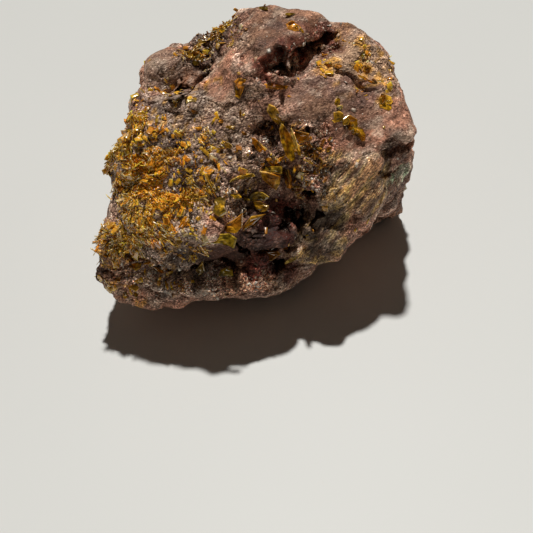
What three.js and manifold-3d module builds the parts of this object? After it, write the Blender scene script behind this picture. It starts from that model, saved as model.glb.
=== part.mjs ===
// A hand specimen of wulfenite: golden tabular crystals on a broken, vuggy lump of matrix rock.
// Millimetres, +Z up. The specimen rests on a flat broken base; the origin is the bottom centre of its box.
import * as THREE from 'three';
import { ConvexHull } from 'three/addons/math/ConvexHull.js';
import { mergeVertices } from 'three/addons/utils/BufferGeometryUtils.js';
import Module from 'manifold-3d';

const wasm = await Module();
wasm.setup();

// ---------------------------------------------------------------- driving dimensions (mm)
const HEART = new THREE.Vector3(0, -1, 18);    // point inside the rock that every outer corner can see
const ROCK_DETAIL = 10;                         // icosphere subdivision of the rock's skin
const CHIP_SIZE = 5.2;                          // width of the flat chips that the rock breaks into
const CHIP_RELIEF = 0.55;                       // how far a chip's face leans out of the form
const GRAIN_SIZE = 2.3;                         // width of the small lumps on the chips
const GRAIN_RELIEF = 0.28;
const SKIN_GAP = 0.3;                           // clearance between a crystal and its seat

// Corners of the rock's broken outer form, as [x, y, z].
const RIM = {
  crownLeft: [-0.9, 4, 37], crown: [2.9, 4, 39], crownRight: [7.9, 4, 38.1], brow: [12.3, 4, 36.9],
  rightShoulderBack: [17.1, 3, 34.5], rightShoulder: [19.9, 2, 32.4],
  shoulderTip: [-14.1, 2, 33], shoulderTop: [-11.5, 3, 33.8], shoulderEnd: [-8.4, 4, 33],
  saddleBack: [-6.1, 4, 34.2], crownStep: [-3.6, 4, 35.1],
};
const RIGHT_SIDE = {
  cheekTop: [21.5, -2, 29.9], cheek: [22.4, -5, 27.8],
  cornerTop: [23.3, -8, 25.8], corner: [23.4, -8.5, 22.6],
  notch: [22.7, -7, 18.8], ledgeLobe: [24, -6, 16.1], ledgeLow: [23.3, -5, 12.4],
  lobeNeck: [22.5, -3, 8.6], lobeTip: [22.9, 0, 0.9], lobeInner: [20.5, 0, 0.5], lobeRoot: [18.2, -4, 7.4],
  blockEdge: [20.2, -11, 25.6], blockTop: [19.4, -9.1, 27.3], underBlock: [20.2, -9.5, 19.5],
};
const LEFT_SIDE = {
  toeTop: [-21.6, -19, 14.9], toeSide: [-22.9, -18.8, 11],
  notchLow: [-18.7, -17.5, 18.1], notchMid: [-17.7, -15.5, 20.6], notchTop: [-18.2, -14, 21.7],
  bulgeLow: [-19.6, -13, 23.5], bulgeTop: [-19.5, -11.5, 24.9],
  edgeLow: [-17.6, -10, 27.7], edge: [-16.2, -7, 30.1], edgeHigh: [-14.9, -3, 31.6],
  shoulderLow: [-14.1, 0, 32.3],
};
const LIP = {
  right: [5.2, -21, 8.9], midRight: [2.3, -23, 9.3], mid: [-5.4, -24, 9.6], midLeft: [-12.6, -23, 9.2],
  left: [-15.2, -22, 7], toeFront: [-19.5, -20.8, 6.4], toe: [-22.2, -19.7, 7.5],
  face: [-7.3, -24.3, 12.3], faceRight: [0.4, -23.4, 12],
};
const DRUSE_FACE = {
  bulgeLeft: [-11.6, -20.8, 18.7], bulge: [-4.4, -22.1, 19.9], toeFace: [-19.1, -20.4, 12.6],
  lowLeft: [-13.5, -15.5, 23.2], low: [-8.5, -17.5, 23], lowRight: [-3, -15.3, 25.3],
  notch: [-16.3, -18.2, 21.2],
  middle: [-7.6, -13, 28],
  highLeft: [-14.5, -11.1, 28.5], high: [-10.4, -6.9, 31], highRight: [-3.4, -9.3, 30],
  recess: [-5.2, -20.5, 13.7], recessLeft: [-14.7, -20.5, 11.4],
};
const TOP = {
  shoulderFace: [-11, -2.5, 34],
  grooveLow: [-10, -3.9, 31], grooveMid: [-6.4, -1.1, 32], grooveHigh: [-3.2, 2.8, 34.5],
  crownFace: [1, -1.3, 38],
  ridgeLeft: [-2.6, -5.5, 33], ridgeMid: [0.3, -5.5, 35.3], ridgeTop: [3.5, -3.9, 37.6],
  ridgeEnd: [10.3, 2.7, 36.5], saddle: [0.9, -8.5, 30.5],
  vugLipLow: [6.2, -6.4, 32], vugLipRight: [14.5, -2.4, 32.3],
  rightFace: [12.9, -7.7, 30.5], rightFaceEdge: [19.3, -4.2, 30.2], rightFaceLow: [17, -8.7, 26.9],
  rightFaceMid: [10.2, -9.5, 29.5],
};
const BROKEN_FACE = {
  topLeft: [11.6, -13, 24.6], topMid: [15.5, -12.7, 23.5], topRight: [18.5, -11.5, 24.1],
  mid: [13.3, -15.5, 19.1], midLeft: [9.7, -17.3, 18.2],
  lowRight: [17.1, -15, 17.8], edgeRight: [14.3, -18, 14.6],
  low: [13, -20.6, 13.9], lowMid: [9.3, -20.5, 13], lowLeft: [7.1, -20, 11.5],
};
const VALLEY = {
  head: [3, -9.3, 28.3], headRight: [6.1, -8.6, 30.3], up: [5.2, -12.7, 25.3], upRight: [8, -11.8, 28],
  mid: [5.7, -14.1, 20], low: [6.1, -16.5, 14.5], rimLeftLow: [-1.1, -17, 21.5], rimLeft: [0.5, -14.2, 26],
  rimRight: [9.6, -15.4, 23], foot: [4.6, -18.9, 11.5], ledge: [1.9, -19.3, 15.5],
};
const HIDDEN_BACK = {
  crownBack: [4, 12, 31.5], shoulderBack: [-9, 11, 26], leftBack: [-16, 8, 24], leftSide: [-19, -3, 17],
  leftSideHigh: [-15, 1, 26.5], leftLow: [-20.5, -4, 7], leftBackLow: [-16, 13, 8], backLeft: [-9, 18, 19],
  back: [3, 20.5, 21], backRight: [14, 16, 22], backHighRight: [14, 11, 28], rightSide: [22, 4, 21],
  rightBackLow: [18, 13, 8], rightLow: [22.5, 5, 7], backLow: [3, 19.5, 6],
};
const BASE = {
  frontLeft: [-18, -11.5, 0], front: [-2, -14, 0], frontRight: [9, -7.5, 0],
  lobeFront: [17, 4, 0], lobeFoot: [22, 2, 0],
  right: [20, 8, 0], backRight: [14, 14, 0], back: [2, 17, 0], backLeft: [-12, 14, 0], left: [-19, -2, 0],
  middle: [0, 1, 0], frontUnder: [-8, -18, 4.4], frontUnderRight: [4, -17, 4], underToe: [-19, -16.6, 3.8],
};
const CORNER_SETS = [
  RIM, RIGHT_SIDE, LEFT_SIDE, LIP, DRUSE_FACE, TOP, BROKEN_FACE, VALLEY, HIDDEN_BACK, BASE,
];

// ---------------------------------------------------------------- noise
const HASH_PRIMES = [374761393, 668265263, 2147483647, 1274126177];
const HASH_MIXERS = [1103515245, 2246822519];
const HASH_RANGE = 2 ** 32;

/** A number from 0 to 1 that is always the same for the same four whole numbers. */
function hash(...wholes) {
  let mixed = wholes.reduce((all, whole, i) => all ^ Math.imul(whole, HASH_PRIMES[i]), 0);
  mixed = Math.imul(mixed ^ (mixed >>> 13), HASH_MIXERS[0]);
  mixed = Math.imul(mixed ^ (mixed >>> 16), HASH_MIXERS[1]);
  return ((mixed ^ (mixed >>> 15)) >>> 0) / HASH_RANGE;
}

/** A row of such numbers, for sizes and places that vary from piece to piece. */
function dice(seed) {
  let throws = 0;
  return (low = 0, high = 1) => {
    throws += 1;
    return low + (high - low) * hash(throws, seed, throws >> 4, 7);
  };
}

/** Smooth noise from -1 to 1. */
function lumps(point, size, seed) {
  const [x, y, z] = [point.x / size, point.y / size, point.z / size];
  const [i, j, k] = [Math.floor(x), Math.floor(y), Math.floor(z)];
  const ease = (t) => t * t * (3 - 2 * t);
  const [u, v, w] = [ease(x - i), ease(y - j), ease(z - k)];
  let sum = 0;
  for (let corner = 0; corner < 8; corner += 1) {
    const [a, b, c] = [corner & 1, (corner >> 1) & 1, corner >> 2];
    sum += hash(i + a, j + b, k + c, seed) * (a ? u : 1 - u) * (b ? v : 1 - v) * (c ? w : 1 - w);
  }
  return 2 * sum - 1;
}

const CHIP_LEAN = 1.6;
const NEAR = [-1, 0, 1];
const NEIGHBOURS = NEAR.flatMap((x) => NEAR.flatMap((y) => NEAR.map((z) => [x, y, z])));

/** Flat, leaning chips with steps between them, from about -1 to 1. */
function chips(point, size, seed) {
  const place = point.clone().divideScalar(size);
  const home = place.clone().floor();
  let nearest = Infinity;
  let lean = 0;
  for (const step of NEIGHBOURS) {
    const cell = home.clone().add(new THREE.Vector3(...step)).toArray();
    const [x, y, z, tiltX, tiltY, tiltZ, lift] = [0, 1, 2, 3, 4, 5, 6].map((n) => hash(...cell, seed + n));
    const away = place.clone().sub(new THREE.Vector3(cell[0] + x, cell[1] + y, cell[2] + z));
    if (away.lengthSq() < nearest) {
      nearest = away.lengthSq();
      const tilt = new THREE.Vector3(2 * tiltX - 1, 2 * tiltY - 1, 2 * tiltZ - 1);
      lean = CHIP_LEAN * away.dot(tilt) + lift - 0.5;
    }
  }
  return lean;
}

// ---------------------------------------------------------------- solids
function bareSphere(detail) {
  const sphere = new THREE.IcosahedronGeometry(1, detail);
  sphere.deleteAttribute('normal');
  sphere.deleteAttribute('uv');
  return mergeVertices(sphere, 1e-4);
}

function toSolid(geometry) {
  const bare = geometry.clone();
  bare.deleteAttribute('normal');
  bare.deleteAttribute('uv');
  const merged = mergeVertices(bare, 1e-4);
  return new wasm.Manifold(new wasm.Mesh({
    numProp: 3,
    vertProperties: new Float32Array(merged.attributes.position.array),
    triVerts: new Uint32Array(merged.index.array),
  }));
}

function toGeometry(solid) {
  const mesh = solid.getMesh();
  const geometry = new THREE.BufferGeometry();
  geometry.setAttribute('position', new THREE.BufferAttribute(new Float32Array(mesh.vertProperties), 3));
  geometry.setIndex(new THREE.BufferAttribute(new Uint32Array(mesh.triVerts), 1));
  return geometry;
}

/** The largest separate body of a solid. */
function mainBody(solid) {
  return solid.decompose().sort((a, b) => b.volume() - a.volume())[0];
}

function eachPoint(geometry, change) {
  const position = geometry.attributes.position;
  const point = new THREE.Vector3();
  for (let i = 0; i < position.count; i += 1) {
    point.fromBufferAttribute(position, i);
    change(point, i);
    position.setXYZ(i, point.x, point.y, point.z);
  }
  return geometry;
}

// ---------------------------------------------------------------- the rock's skin
const corners = CORNER_SETS.flatMap((set) => Object.values(set)).map((xyz) => new THREE.Vector3(...xyz));

/** Flat triangles between neighbouring corners, neighbours as seen from the heart of the rock. */
function cornerFacets() {
  const directions = corners.map((corner) => corner.clone().sub(HEART).normalize());
  const hull = new ConvexHull().setFromPoints(directions);
  return hull.faces.map((face) => {
    const facet = [];
    let edge = face.edge;
    do {
      const seen = directions.findIndex((direction) => direction.distanceTo(edge.head().point) < 1e-9);
      facet.push(corners[seen]);
      edge = edge.next;
    } while (edge !== face.edge);
    return new THREE.Triangle(...facet);
  });
}
const facets = cornerFacets();

/** Where a ray from the heart meets the flat-faced form. */
function formPoint(direction) {
  const ray = new THREE.Ray(HEART, direction);
  const hit = new THREE.Vector3();
  facets.find(({ a, b, c }) => ray.intersectTriangle(a, b, c, false, hit));
  return hit;
}

/** Chips and grain, none on the flat base. */
function relief(point) {
  const aboveBase = THREE.MathUtils.smoothstep(point.z, 0.1, 3);
  return aboveBase * (CHIP_RELIEF * chips(point, CHIP_SIZE, 11) + GRAIN_RELIEF * lumps(point, GRAIN_SIZE, 5));
}

/** The rock's skin, pushed out along its normals by `clearance`. */
function skin(clearance) {
  const geometry = eachPoint(bareSphere(ROCK_DETAIL), (point) => point.copy(formPoint(point.clone())));
  for (const amount of [relief, () => clearance]) {
    geometry.computeVertexNormals();
    const normal = geometry.attributes.normal.clone();
    const out = new THREE.Vector3();
    eachPoint(geometry, (point, i) => {
      point.addScaledVector(out.fromBufferAttribute(normal, i), amount(point));
    });
  }
  return toSolid(geometry);
}

// ---------------------------------------------------------------- knobs and hollows of the rock
// Each has its middle, the direction of its long axis, and its half length, half width and half height.
const KNOBS = {
  shoulderKnob: { at: [-10.6, 0, 32.2], along: [1, 0.3, 0], half: [3.3, 2.8, 1.9] },
  cornerBlock: { at: [21, -8, 25.6], along: [1, 0.2, 0], half: [2.2, 2, 1.6] },
  cornerUnderBlock: { at: [20.6, -7.8, 22.6], along: [1, 0.2, -0.1], half: [2.3, 1.9, 1.3] },
  valleyShelf: { at: [2.6, -18.4, 16.4], along: [1, 0.32, -0.1], half: [4.2, 1.9, 1] },
  hangingLobe: { at: [19.3, -7, 11.6], along: [0.15, 0.75, -1], half: [5, 1.9, 1.9] },
  lipRidge: { at: [-6, -22.6, 11.6], along: [1, 0.03, 0], half: [8.6, 1.4, 1] },
  valleyFin: { at: [7.8, -17.3, 14.6], along: [0.1, -0.2, 1], half: [2.6, 0.8, 1.1] },
};
const HOLLOWS = {
  topVug: { at: [7.9, -1.9, 33.9], along: [1, 0.6, 0.1], half: [6.2, 2.5, 2.1] },
  saddleHollow: { at: [2.7, -8.2, 28.4], along: [1, 0.1, 0], half: [2.5, 1.6, 1.1] },
  valleyHole: { at: [6.6, -15.4, 17.2], along: [0.35, 0.1, 1], half: [3.3, 1.5, 1.5] },
  smallHole: { at: [8.7, -14.6, 20.8], along: [0.6, 0, 1], half: [1.5, 1.2, 1.1] },
  footHole: { at: [2.9, -19.4, 11.6], along: [1, 0.2, 0], half: [1.9, 1.5, 1.2] },
  lipSlot: { at: [-7.2, -21.2, 13.4], along: [1, 0, 0.05], half: [6.6, 1.5, 0.9] },
  grooveCrack: { at: [-7.6, -3, 31.9], along: [1, 0.35, 0.25], half: [3.6, 1, 1] },
  cornerStep: { at: [21.6, -9.6, 19.6], along: [1, 0.2, 0], half: [2.2, 1.2, 0.9] },
};
const BOULDER_DETAIL = 1;
const KNOB_SEED = 20;
const HOLLOW_SEED = 40;
const BOULDER_JAG = 0.3;                        // unevenness of a knob or hollow, as a share of its size
const BOULDER_JAG_SIZE = 0.55;                  // width of its lumps, on a boulder of radius 1

/** A jagged lump. `grow` makes it larger all round, for clearance. */
function boulder({ at, along, half }, seed, grow) {
  const axis = new THREE.Vector3(...along).normalize();
  const turn = new THREE.Quaternion().setFromUnitVectors(new THREE.Vector3(1, 0, 0), axis);
  const size = new THREE.Vector3(...half).addScalar(grow);
  const lump = eachPoint(bareSphere(BOULDER_DETAIL), (point) => {
    point.multiplyScalar(1 + BOULDER_JAG * lumps(point, BOULDER_JAG_SIZE, seed));
    point.multiply(size).applyQuaternion(turn).add(new THREE.Vector3(...at));
  });
  return toSolid(lump);
}

/** The whole rock, larger all round by `clearance`. */
function rock(clearance) {
  const knobs = Object.values(KNOBS).map((knob, i) => boulder(knob, KNOB_SEED + i, clearance));
  const hollows = Object.values(HOLLOWS).map((hollow, i) => boulder(hollow, HOLLOW_SEED + i, -clearance));
  const lump = knobs.reduce((solid, knob) => solid.add(knob), skin(clearance));
  return hollows.reduce((solid, hollow) => solid.subtract(hollow), lump);
}

// ---------------------------------------------------------------- crystals
const TABLET_SIDES = 4;
const BEVEL = 0.3;                              // inward reach of a tablet's bevel, for each mm of thickness
const ROOT_DEPTH = 0.9;                         // how far a tablet runs into its seat before it is cut there
const FACING = new THREE.Vector3(0.05, -0.68, 0.73);   // a tablet with no twist shows its face this way

/** A tabular crystal from its root to its tip: a thin bevelled plate, narrower at the tip by `taper`. */
function tablet({ root, tip, width, thickness, twist = 0, taper = 0 }, grow = 0) {
  const [start, end] = [new THREE.Vector3(...root), new THREE.Vector3(...tip)];
  const along = end.clone().sub(start).normalize();
  start.addScaledVector(along, -ROOT_DEPTH);
  const face = FACING.clone().addScaledVector(along, -FACING.dot(along)).normalize();
  face.applyAxisAngle(along, THREE.MathUtils.degToRad(twist));
  const across = new THREE.Vector3().crossVectors(face, along);
  const inner = 1 - BEVEL * thickness;
  const profile = [[0, -0.5], [inner, -0.5], [1, 0], [inner, 0.5], [0, 0.5]];
  const halfSection = profile.map(([radius, height]) => new THREE.Vector2(radius * Math.SQRT1_2, height));
  const plate = new THREE.LatheGeometry(halfSection, TABLET_SIDES);
  plate.rotateY(Math.PI / TABLET_SIDES).rotateX(Math.PI / 2);
  const length = start.distanceTo(end);
  plate.scale(length + 2 * grow, width + 2 * grow, thickness + 2 * grow);
  eachPoint(plate, (point) => {
    point.y *= 1 - taper * (point.x / length + 0.5);
  });
  const middle = start.lerp(end, 0.5);
  plate.applyMatrix4(new THREE.Matrix4().makeBasis(along, across, face).setPosition(middle));
  return toSolid(plate);
}

// The crystals that stand out singly or in twos and threes, each list one intergrown piece.
const BLADES = {
  blade_top_fan: [
    { root: [5.1, -9.2, 28.4], tip: [3.5, -8.9, 31.8], width: 1.2, thickness: 0.45, twist: 15, taper: -0.3 },
  ],
  blade_twin: [
    { root: [6.7, -12, 26.6], tip: [4.6, -10.1, 30.2], width: 2, thickness: 0.5, twist: -35, taper: 0.35 },
    { root: [6.9, -12, 26.6], tip: [6.3, -11.4, 29.9], width: 1.2, thickness: 0.35, twist: 75 },
  ],
  blade_side: [
    { root: [6.9, -10.4, 28.4], tip: [8.4, -11.7, 28.8], width: 1, thickness: 0.4, twist: 20 },
  ],
  blade_honey_bar: [
    { root: [4.2, -12.6, 23.9], tip: [0.9, -11.7, 28.3], width: 1.7, thickness: 0.5, twist: 60 },
  ],
  blade_honey: [
    { root: [3.2, -14.5, 22], tip: [2.9, -14.1, 25.4], width: 2.7, thickness: 0.6, twist: -20, taper: -0.15 },
  ],
  blade_olive_strip: [
    { root: [0.6, -14.7, 24.8], tip: [-1.8, -16.2, 25.5], width: 0.8, thickness: 0.35, twist: 30 },
  ],
  blade_thin: [
    { root: [5, -13, 23.3], tip: [5.7, -14.6, 21.8], width: 1.1, thickness: 0.35, twist: 60 },
  ],
  blade_yellow_stub: [
    { root: [0.8, -16, 20.6], tip: [2.6, -17.4, 20.6], width: 1.1, thickness: 0.7, twist: 10 },
    { root: [1.2, -15.6, 21.2], tip: [1.3, -16.3, 22.9], width: 2.7, thickness: 0.4, twist: 0 },
  ],
  blade_olive_twist: [
    { root: [-3.9, -18.3, 21.8], tip: [-3.9, -20.3, 23], width: 1.9, thickness: 0.7, twist: 20 },
  ],
  blade_orange: [
    { root: [-3.4, -20, 20.3], tip: [-1, -19.5, 21.6], width: 1.7, thickness: 0.45, twist: -10 },
  ],
  blade_ledge: [
    { root: [-6, -21.2, 19.4], tip: [-2.1, -22, 19.2], width: 1.9, thickness: 0.45, twist: 15, taper: 0.2 },
  ],
  blade_pink_edge: [
    { root: [-0.9, -19.6, 18.6], tip: [1.9, -18.6, 20.4], width: 1.7, thickness: 0.4, twist: 40, taper: 0.5 },
  ],
  blade_brown_low: [
    { root: [1.2, -20.2, 13.8], tip: [3.6, -19.9, 14], width: 1.1, thickness: 0.5, twist: 0 },
  ],
  blade_yellow_low: [
    { root: [-3.2, -21.5, 12.8], tip: [-4.9, -22.6, 13.5], width: 1.1, thickness: 0.6, twist: 0 },
  ],
  blade_pale_fin: [
    { root: [-7, -21.2, 14.9], tip: [-7.5, -23.2, 13.8], width: 1, thickness: 0.35, twist: 50 },
  ],
  blade_pale: [
    { root: [5.2, -18.8, 11.4], tip: [6.2, -19.5, 12.9], width: 0.7, thickness: 0.35, twist: 10 },
  ],
  plate_square: [
    { root: [19.2, -5.9, 28.9], tip: [19.4, -4.6, 30], width: 1.9, thickness: 0.6, twist: 8 },
  ],
  plate_brown: [
    { root: [14.2, -9.5, 28.1], tip: [14.3, -8.8, 29], width: 1.6, thickness: 0.6, twist: 10 },
  ],
  plate_glint: [
    { root: [12.5, -9, 29.1], tip: [12.6, -8.4, 30.1], width: 1.1, thickness: 0.4, twist: 25 },
  ],
  plates_crown: [
    { root: [7, 0.6, 37.2], tip: [7.1, 1.7, 38.1], width: 1.5, thickness: 0.5, twist: 20 },
    { root: [6.6, 0.8, 37.2], tip: [6.3, 0.3, 38.3], width: 1.2, thickness: 0.4, twist: 70 },
  ],
  plates_ridge: [
    { root: [-1, -6.8, 32.4], tip: [-0.9, -6.1, 34], width: 1.3, thickness: 0.5, twist: 0 },
    { root: [-1.2, -6.2, 32], tip: [-1.7, -7.4, 32.6], width: 1, thickness: 0.4, twist: 50 },
  ],
  plate_vug: [
    { root: [3.4, -6.9, 33.1], tip: [5.1, -6.4, 33.2], width: 0.8, thickness: 0.6, twist: 0 },
  ],
  plates_groove: [
    { root: [-7.4, -7.6, 31.8], tip: [-7.4, -6.6, 32.8], width: 1.2, thickness: 0.4, twist: 30 },
    { root: [-7.8, -7.4, 31.8], tip: [-8.7, -7.4, 32.4], width: 0.9, thickness: 0.4, twist: -20 },
  ],
};

// Druse: crusts of small tablets grown together, each the middle of a patch, [x, y, z], and its radius.
const DRUSE = [
  [[-16.4, -12.2, 26.3], 2.1], [[-12.1, -12, 27.4], 2.1], [[-7.6, -10.9, 28.9], 2.1],
  [[-15.7, -14.7, 23], 1.9], [[-10.9, -15, 24.4], 2.5], [[-6.1, -15.4, 25.8], 2],
  [[-13.9, -18.1, 21.3], 1.9], [[-8.6, -18.7, 21.8], 2.3], [[-19.8, -18.7, 16], 2],
  [[-18.3, -20.3, 11.6], 2], [[-14, -20.6, 17.4], 1.9], [[-11.6, -7.4, 31], 2.1],
  [[-5.7, 1.6, 33.4], 2.2], [[-3.2, 3.2, 34.6], 1.6], [[14.6, -1.4, 32.5], 2],
  [[18.4, -1.9, 30.9], 1.7], [[-3.1, -13.2, 26.6], 1.5],
];
const DRUSE_SEED = 100;
const TABLETS_PER_PATCH = 4;
const CRUST = 0.75;                             // height of the crust that a patch's tablets stand on
const CRUST_SPREAD = 0.85;                      // its radius, as a share of the patch's
const CRUST_SIDES = 7;

/** The direction that the rock's form faces at a point. */
function outward(point) {
  const ray = new THREE.Ray(HEART, point.clone().sub(HEART).normalize());
  const seen = facets.find(({ a, b, c }) => ray.intersectTriangle(a, b, c, false, new THREE.Vector3()));
  return seen.getNormal(new THREE.Vector3());
}

/** A low lens of crust with small tablets standing out of it at all angles. */
function drusePatch([at, radius], seed) {
  const roll = dice(seed);
  const middle = new THREE.Vector3(...at);
  const out = outward(middle);
  const section = [[0, -CRUST], [CRUST_SPREAD * radius, 0], [0, CRUST]];
  const lens = new THREE.LatheGeometry(section.map((corner) => new THREE.Vector2(...corner)), CRUST_SIDES);
  lens.applyQuaternion(new THREE.Quaternion().setFromUnitVectors(THREE.Object3D.DEFAULT_UP, out));
  lens.translate(...at);
  let patch = toSolid(lens);
  for (let n = 0; n < TABLETS_PER_PATCH; n += 1) {
    const turn = 2 * Math.PI * (n + roll(-0.3, 0.3)) / TABLETS_PER_PATCH;
    const side = new THREE.Vector3(Math.cos(turn), Math.sin(turn), 0).cross(out).normalize();
    const root = middle.clone().addScaledVector(side, roll(0.1, 0.5) * radius);
    const tip = root.clone().addScaledVector(out, roll(0.9, 1.3));
    tip.addScaledVector(side, roll(0.1, 0.45) * radius);
    const size = { width: roll(0.55, 1) * radius, thickness: roll(0.35, 0.5), twist: roll(-90, 90) };
    patch = patch.add(tablet({ root: root.toArray(), tip: tip.toArray(), ...size }));
  }
  return patch;
}

// ---------------------------------------------------------------- the specimen
const STONE = new THREE.MeshStandardMaterial({ color: 0x6d5552, roughness: 0.9, metalness: 0 });
const WULFENITE = new THREE.MeshStandardMaterial({ color: 0xb98a1e, roughness: 0.25, metalness: 0 });

function named(name, solid, material) {
  const mesh = new THREE.Mesh(toGeometry(solid), material);
  mesh.name = name;
  return mesh;
}

function wulfenite() {
  const seat = rock(SKIN_GAP);
  const crystals = [];
  const taken = [];
  for (const [name, tablets] of Object.entries(BLADES)) {
    const grown = tablets.map((each) => tablet(each)).reduce((all, each) => all.add(each));
    crystals.push([name, [seat, ...taken].reduce((left, cut) => left.subtract(cut), grown)]);
    taken.push(...tablets.map((each) => tablet(each, SKIN_GAP)));
  }
  DRUSE.forEach((patch, i) => {
    const name = `druse_${String(i + 1).padStart(2, '0')}`;
    const grown = drusePatch(patch, DRUSE_SEED + i);
    crystals.push([name, [seat, ...taken].reduce((left, cut) => left.subtract(cut), grown)]);
  });
  const group = new THREE.Group();
  group.add(named('matrix', rock(0), STONE));
  for (const [name, solid] of crystals) group.add(named(name, mainBody(solid), WULFENITE));
  return group;
}

const specimen = wulfenite();
const box = new THREE.Box3().setFromObject(specimen);
specimen.position.set(-(box.min.x + box.max.x) / 2, -(box.min.y + box.max.y) / 2, -box.min.z);

export default specimen;
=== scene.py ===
"""Wulfenite on matrix: the looks of one mineral specimen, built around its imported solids.

The rock is remeshed finely from its solid, and gets chips, grains, pits and stains. Every crystal that
can be told apart stands where its solid is. The druse is thousands of small tablets seated on the rock.
Places and sizes are in millimetres in the layout frame, in which the rock's corners were first laid out.
The part's own origin is the bottom centre of its box, so a plate whose place is known in both gives SHIFT.
"""

from functools import cache

import bpy
import numpy as np
from mathutils import Matrix, Vector
from mathutils.bvhtree import BVHTree
from mathutils.kdtree import KDTree


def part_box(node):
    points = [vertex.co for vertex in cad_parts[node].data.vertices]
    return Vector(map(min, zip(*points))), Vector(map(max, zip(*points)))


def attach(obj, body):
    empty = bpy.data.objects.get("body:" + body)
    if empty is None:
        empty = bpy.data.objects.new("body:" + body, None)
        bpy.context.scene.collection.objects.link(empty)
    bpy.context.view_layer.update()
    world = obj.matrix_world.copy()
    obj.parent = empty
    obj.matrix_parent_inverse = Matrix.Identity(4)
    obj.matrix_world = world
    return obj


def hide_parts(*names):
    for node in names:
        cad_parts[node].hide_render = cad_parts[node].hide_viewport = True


MM = 0.001

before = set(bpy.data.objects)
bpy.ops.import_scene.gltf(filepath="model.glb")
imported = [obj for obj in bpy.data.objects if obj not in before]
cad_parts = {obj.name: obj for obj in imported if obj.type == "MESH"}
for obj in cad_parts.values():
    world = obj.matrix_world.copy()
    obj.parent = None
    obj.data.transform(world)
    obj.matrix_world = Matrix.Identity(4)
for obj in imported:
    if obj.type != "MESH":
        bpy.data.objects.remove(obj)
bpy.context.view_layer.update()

LANDMARK = "plate_square"
LANDMARK_CORNER = (20.326, -4.554, 30.242)  # its greatest x, y and z in the layout frame
SHIFT = np.array(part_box(LANDMARK)[1]) / MM - LANDMARK_CORNER

# ---- driving sizes

ROCK_VOXEL = 0.20
ROCK_SMOOTHING = 8
ROCK_GROWTH = 0.25  # makes up for what the smoothing takes off
ROCK_TRIANGLES = 196000
FLOOR_HOLD = 1.5  # below this height the relief fades out, so that the base stays flat

CHIPS = [(2.8, 0.24), (1.2, 0.10)]  # width of a chip, and how far it stands out or in
FOLDS = [  # width of a fold, its height, and the share of it on smooth rock
    (4.2, 0.72, 0.7),
    (2.1, 0.34, 0.5),
    (1.0, 0.14, 0.3),
    (0.5, 0.07, 0.3),
]
FOLD_MIDDLE = 0.3
FOLD_WARP = (2.6, 1.5)  # over what width the folds are bent, and how far
FLOW_RUN = np.array([0.86, 0.38, 0.29])  # the way that the folds are drawn out
FLOW_LENGTH = 0.5
FLOW_STRETCH = 1.8
PITS = (1.5, 0.55)  # how far apart, and how deep
STREAKS = (0.7, 0.20)
STREAK_RUN = np.array([0.65, 0.55, 0.51])  # the way that the broken face's streaks run
STREAK_LENGTH = 0.92
STREAK_STRETCH = 7.0
SMOOTH_CALM = 0.8  # how much of the relief and grain is gone on smooth rock
BROKEN_CALM = 0.75  # how smooth the broken face's form counts as, and how smooth its grain
BROKEN_SHEER = 0.8
LUMPY_ROUGH = 1.5  # how much rougher lumpy rock is
DRUSE_VUGGY = 0.35  # how much of a vug's pits there are under the druse

LOWEST = 0.02  # no small thing reaches below this height
GRAINS = 15000
GRAIN_SIZE = (0.08, 0.30)
GRAIN_SUNK = 0.5
GRAIN_LEAN = 3.0  # so much that they lie every way
GRAIN_SEED = 11
GRAIN_WISH = (0.7, -0.65, 3, 2)  # how dense: everywhere, and how much more on smooth, vuggy and lumpy rock
GRAIN_UNEVEN = (0.6, 0.8)  # a grain's three widths as shares of its size: the least, and how much more
GRAIN_SHADE = (0.6, 1.2, 1.5)  # its shade: the least, how much more, and how much more than that in vugs

# the kinds of small crystals: how many, their least and greatest length, their width as shares of the length,
# how rare the long ones are, the share of pale ones, and the seed; the flakes have tints of their own
DRUSES = {
    "druse_fine": (8000, (0.15, 0.5), (0.4, 1.0), 2.0, 0.07, 21),
    "druse_slivers": (6500, (0.35, 1.5), (0.07, 0.22), 2.6, 0.33, 24),
    "druse_coarse": (600, (0.6, 1.8), (0.25, 0.7), 2.4, 0.07, 23),
    "druse_loose": (900, (0.25, 1.3), (0.25, 0.9), 2.6, 0.07, 22),
    "flakes": (3500, (0.2, 0.8), (0.2, 0.8), 2.4, 0.0, 25),
}
LONGEST_FLAKE = 0.8  # a kind that grows longer than this has bevelled tablets
TABLET_CHAMFER = 0.72
DRUSE_FLAT = (0.2, 0.3)  # the least thickness as a share of the width, and how much more it may be
DRUSE_REAR = (0.02, 0.45)  # in radians: the least that one rears up from the rock, and how much more it may
DRUSE_ROLL = 0.35
DRUSE_SUNK = 0.15  # the share of its length that is in the rock
DRUSE_LIFT = 0.1  # how far it is lifted from the rock, as a share of its thickness
DRUSE_THICKEST = 0.3  # wider ones are no thicker than ones of this width
DRUSE_TURN = 6.0  # how far the ways they point swing round, and over what distance
DRUSE_TURN_SIZE = 2.4
DRUSE_STRAY = 0.4  # and how far each strays from its neighbours
DRUSE_CLUMP = 1.6  # how wide a clump of one tint is, and how far a crystal's tint strays from its clump's
DRUSE_MOTTLE = 0.25
DRUSE_SHADE = (1.12, 1.08)  # the least shade, and how much more

SKIN_START = 4.0  # how far out the search for the rock's skin begins, and how far it goes
SKIN_REACH = 9.0

INTO = (-0.05, 0.84, -0.54)  # from the crystal side into the rock
UNDER = (0.0, 0.97, 0.22)
DENT_REACH = 5.0
STEEP_EDGE = 0.45  # the share of a dent that is its edge: steep in ones with painted shade or deep ones, soft in others
SOFT_EDGE = 0.9
STEEP_DEPTH = 1.5
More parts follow.
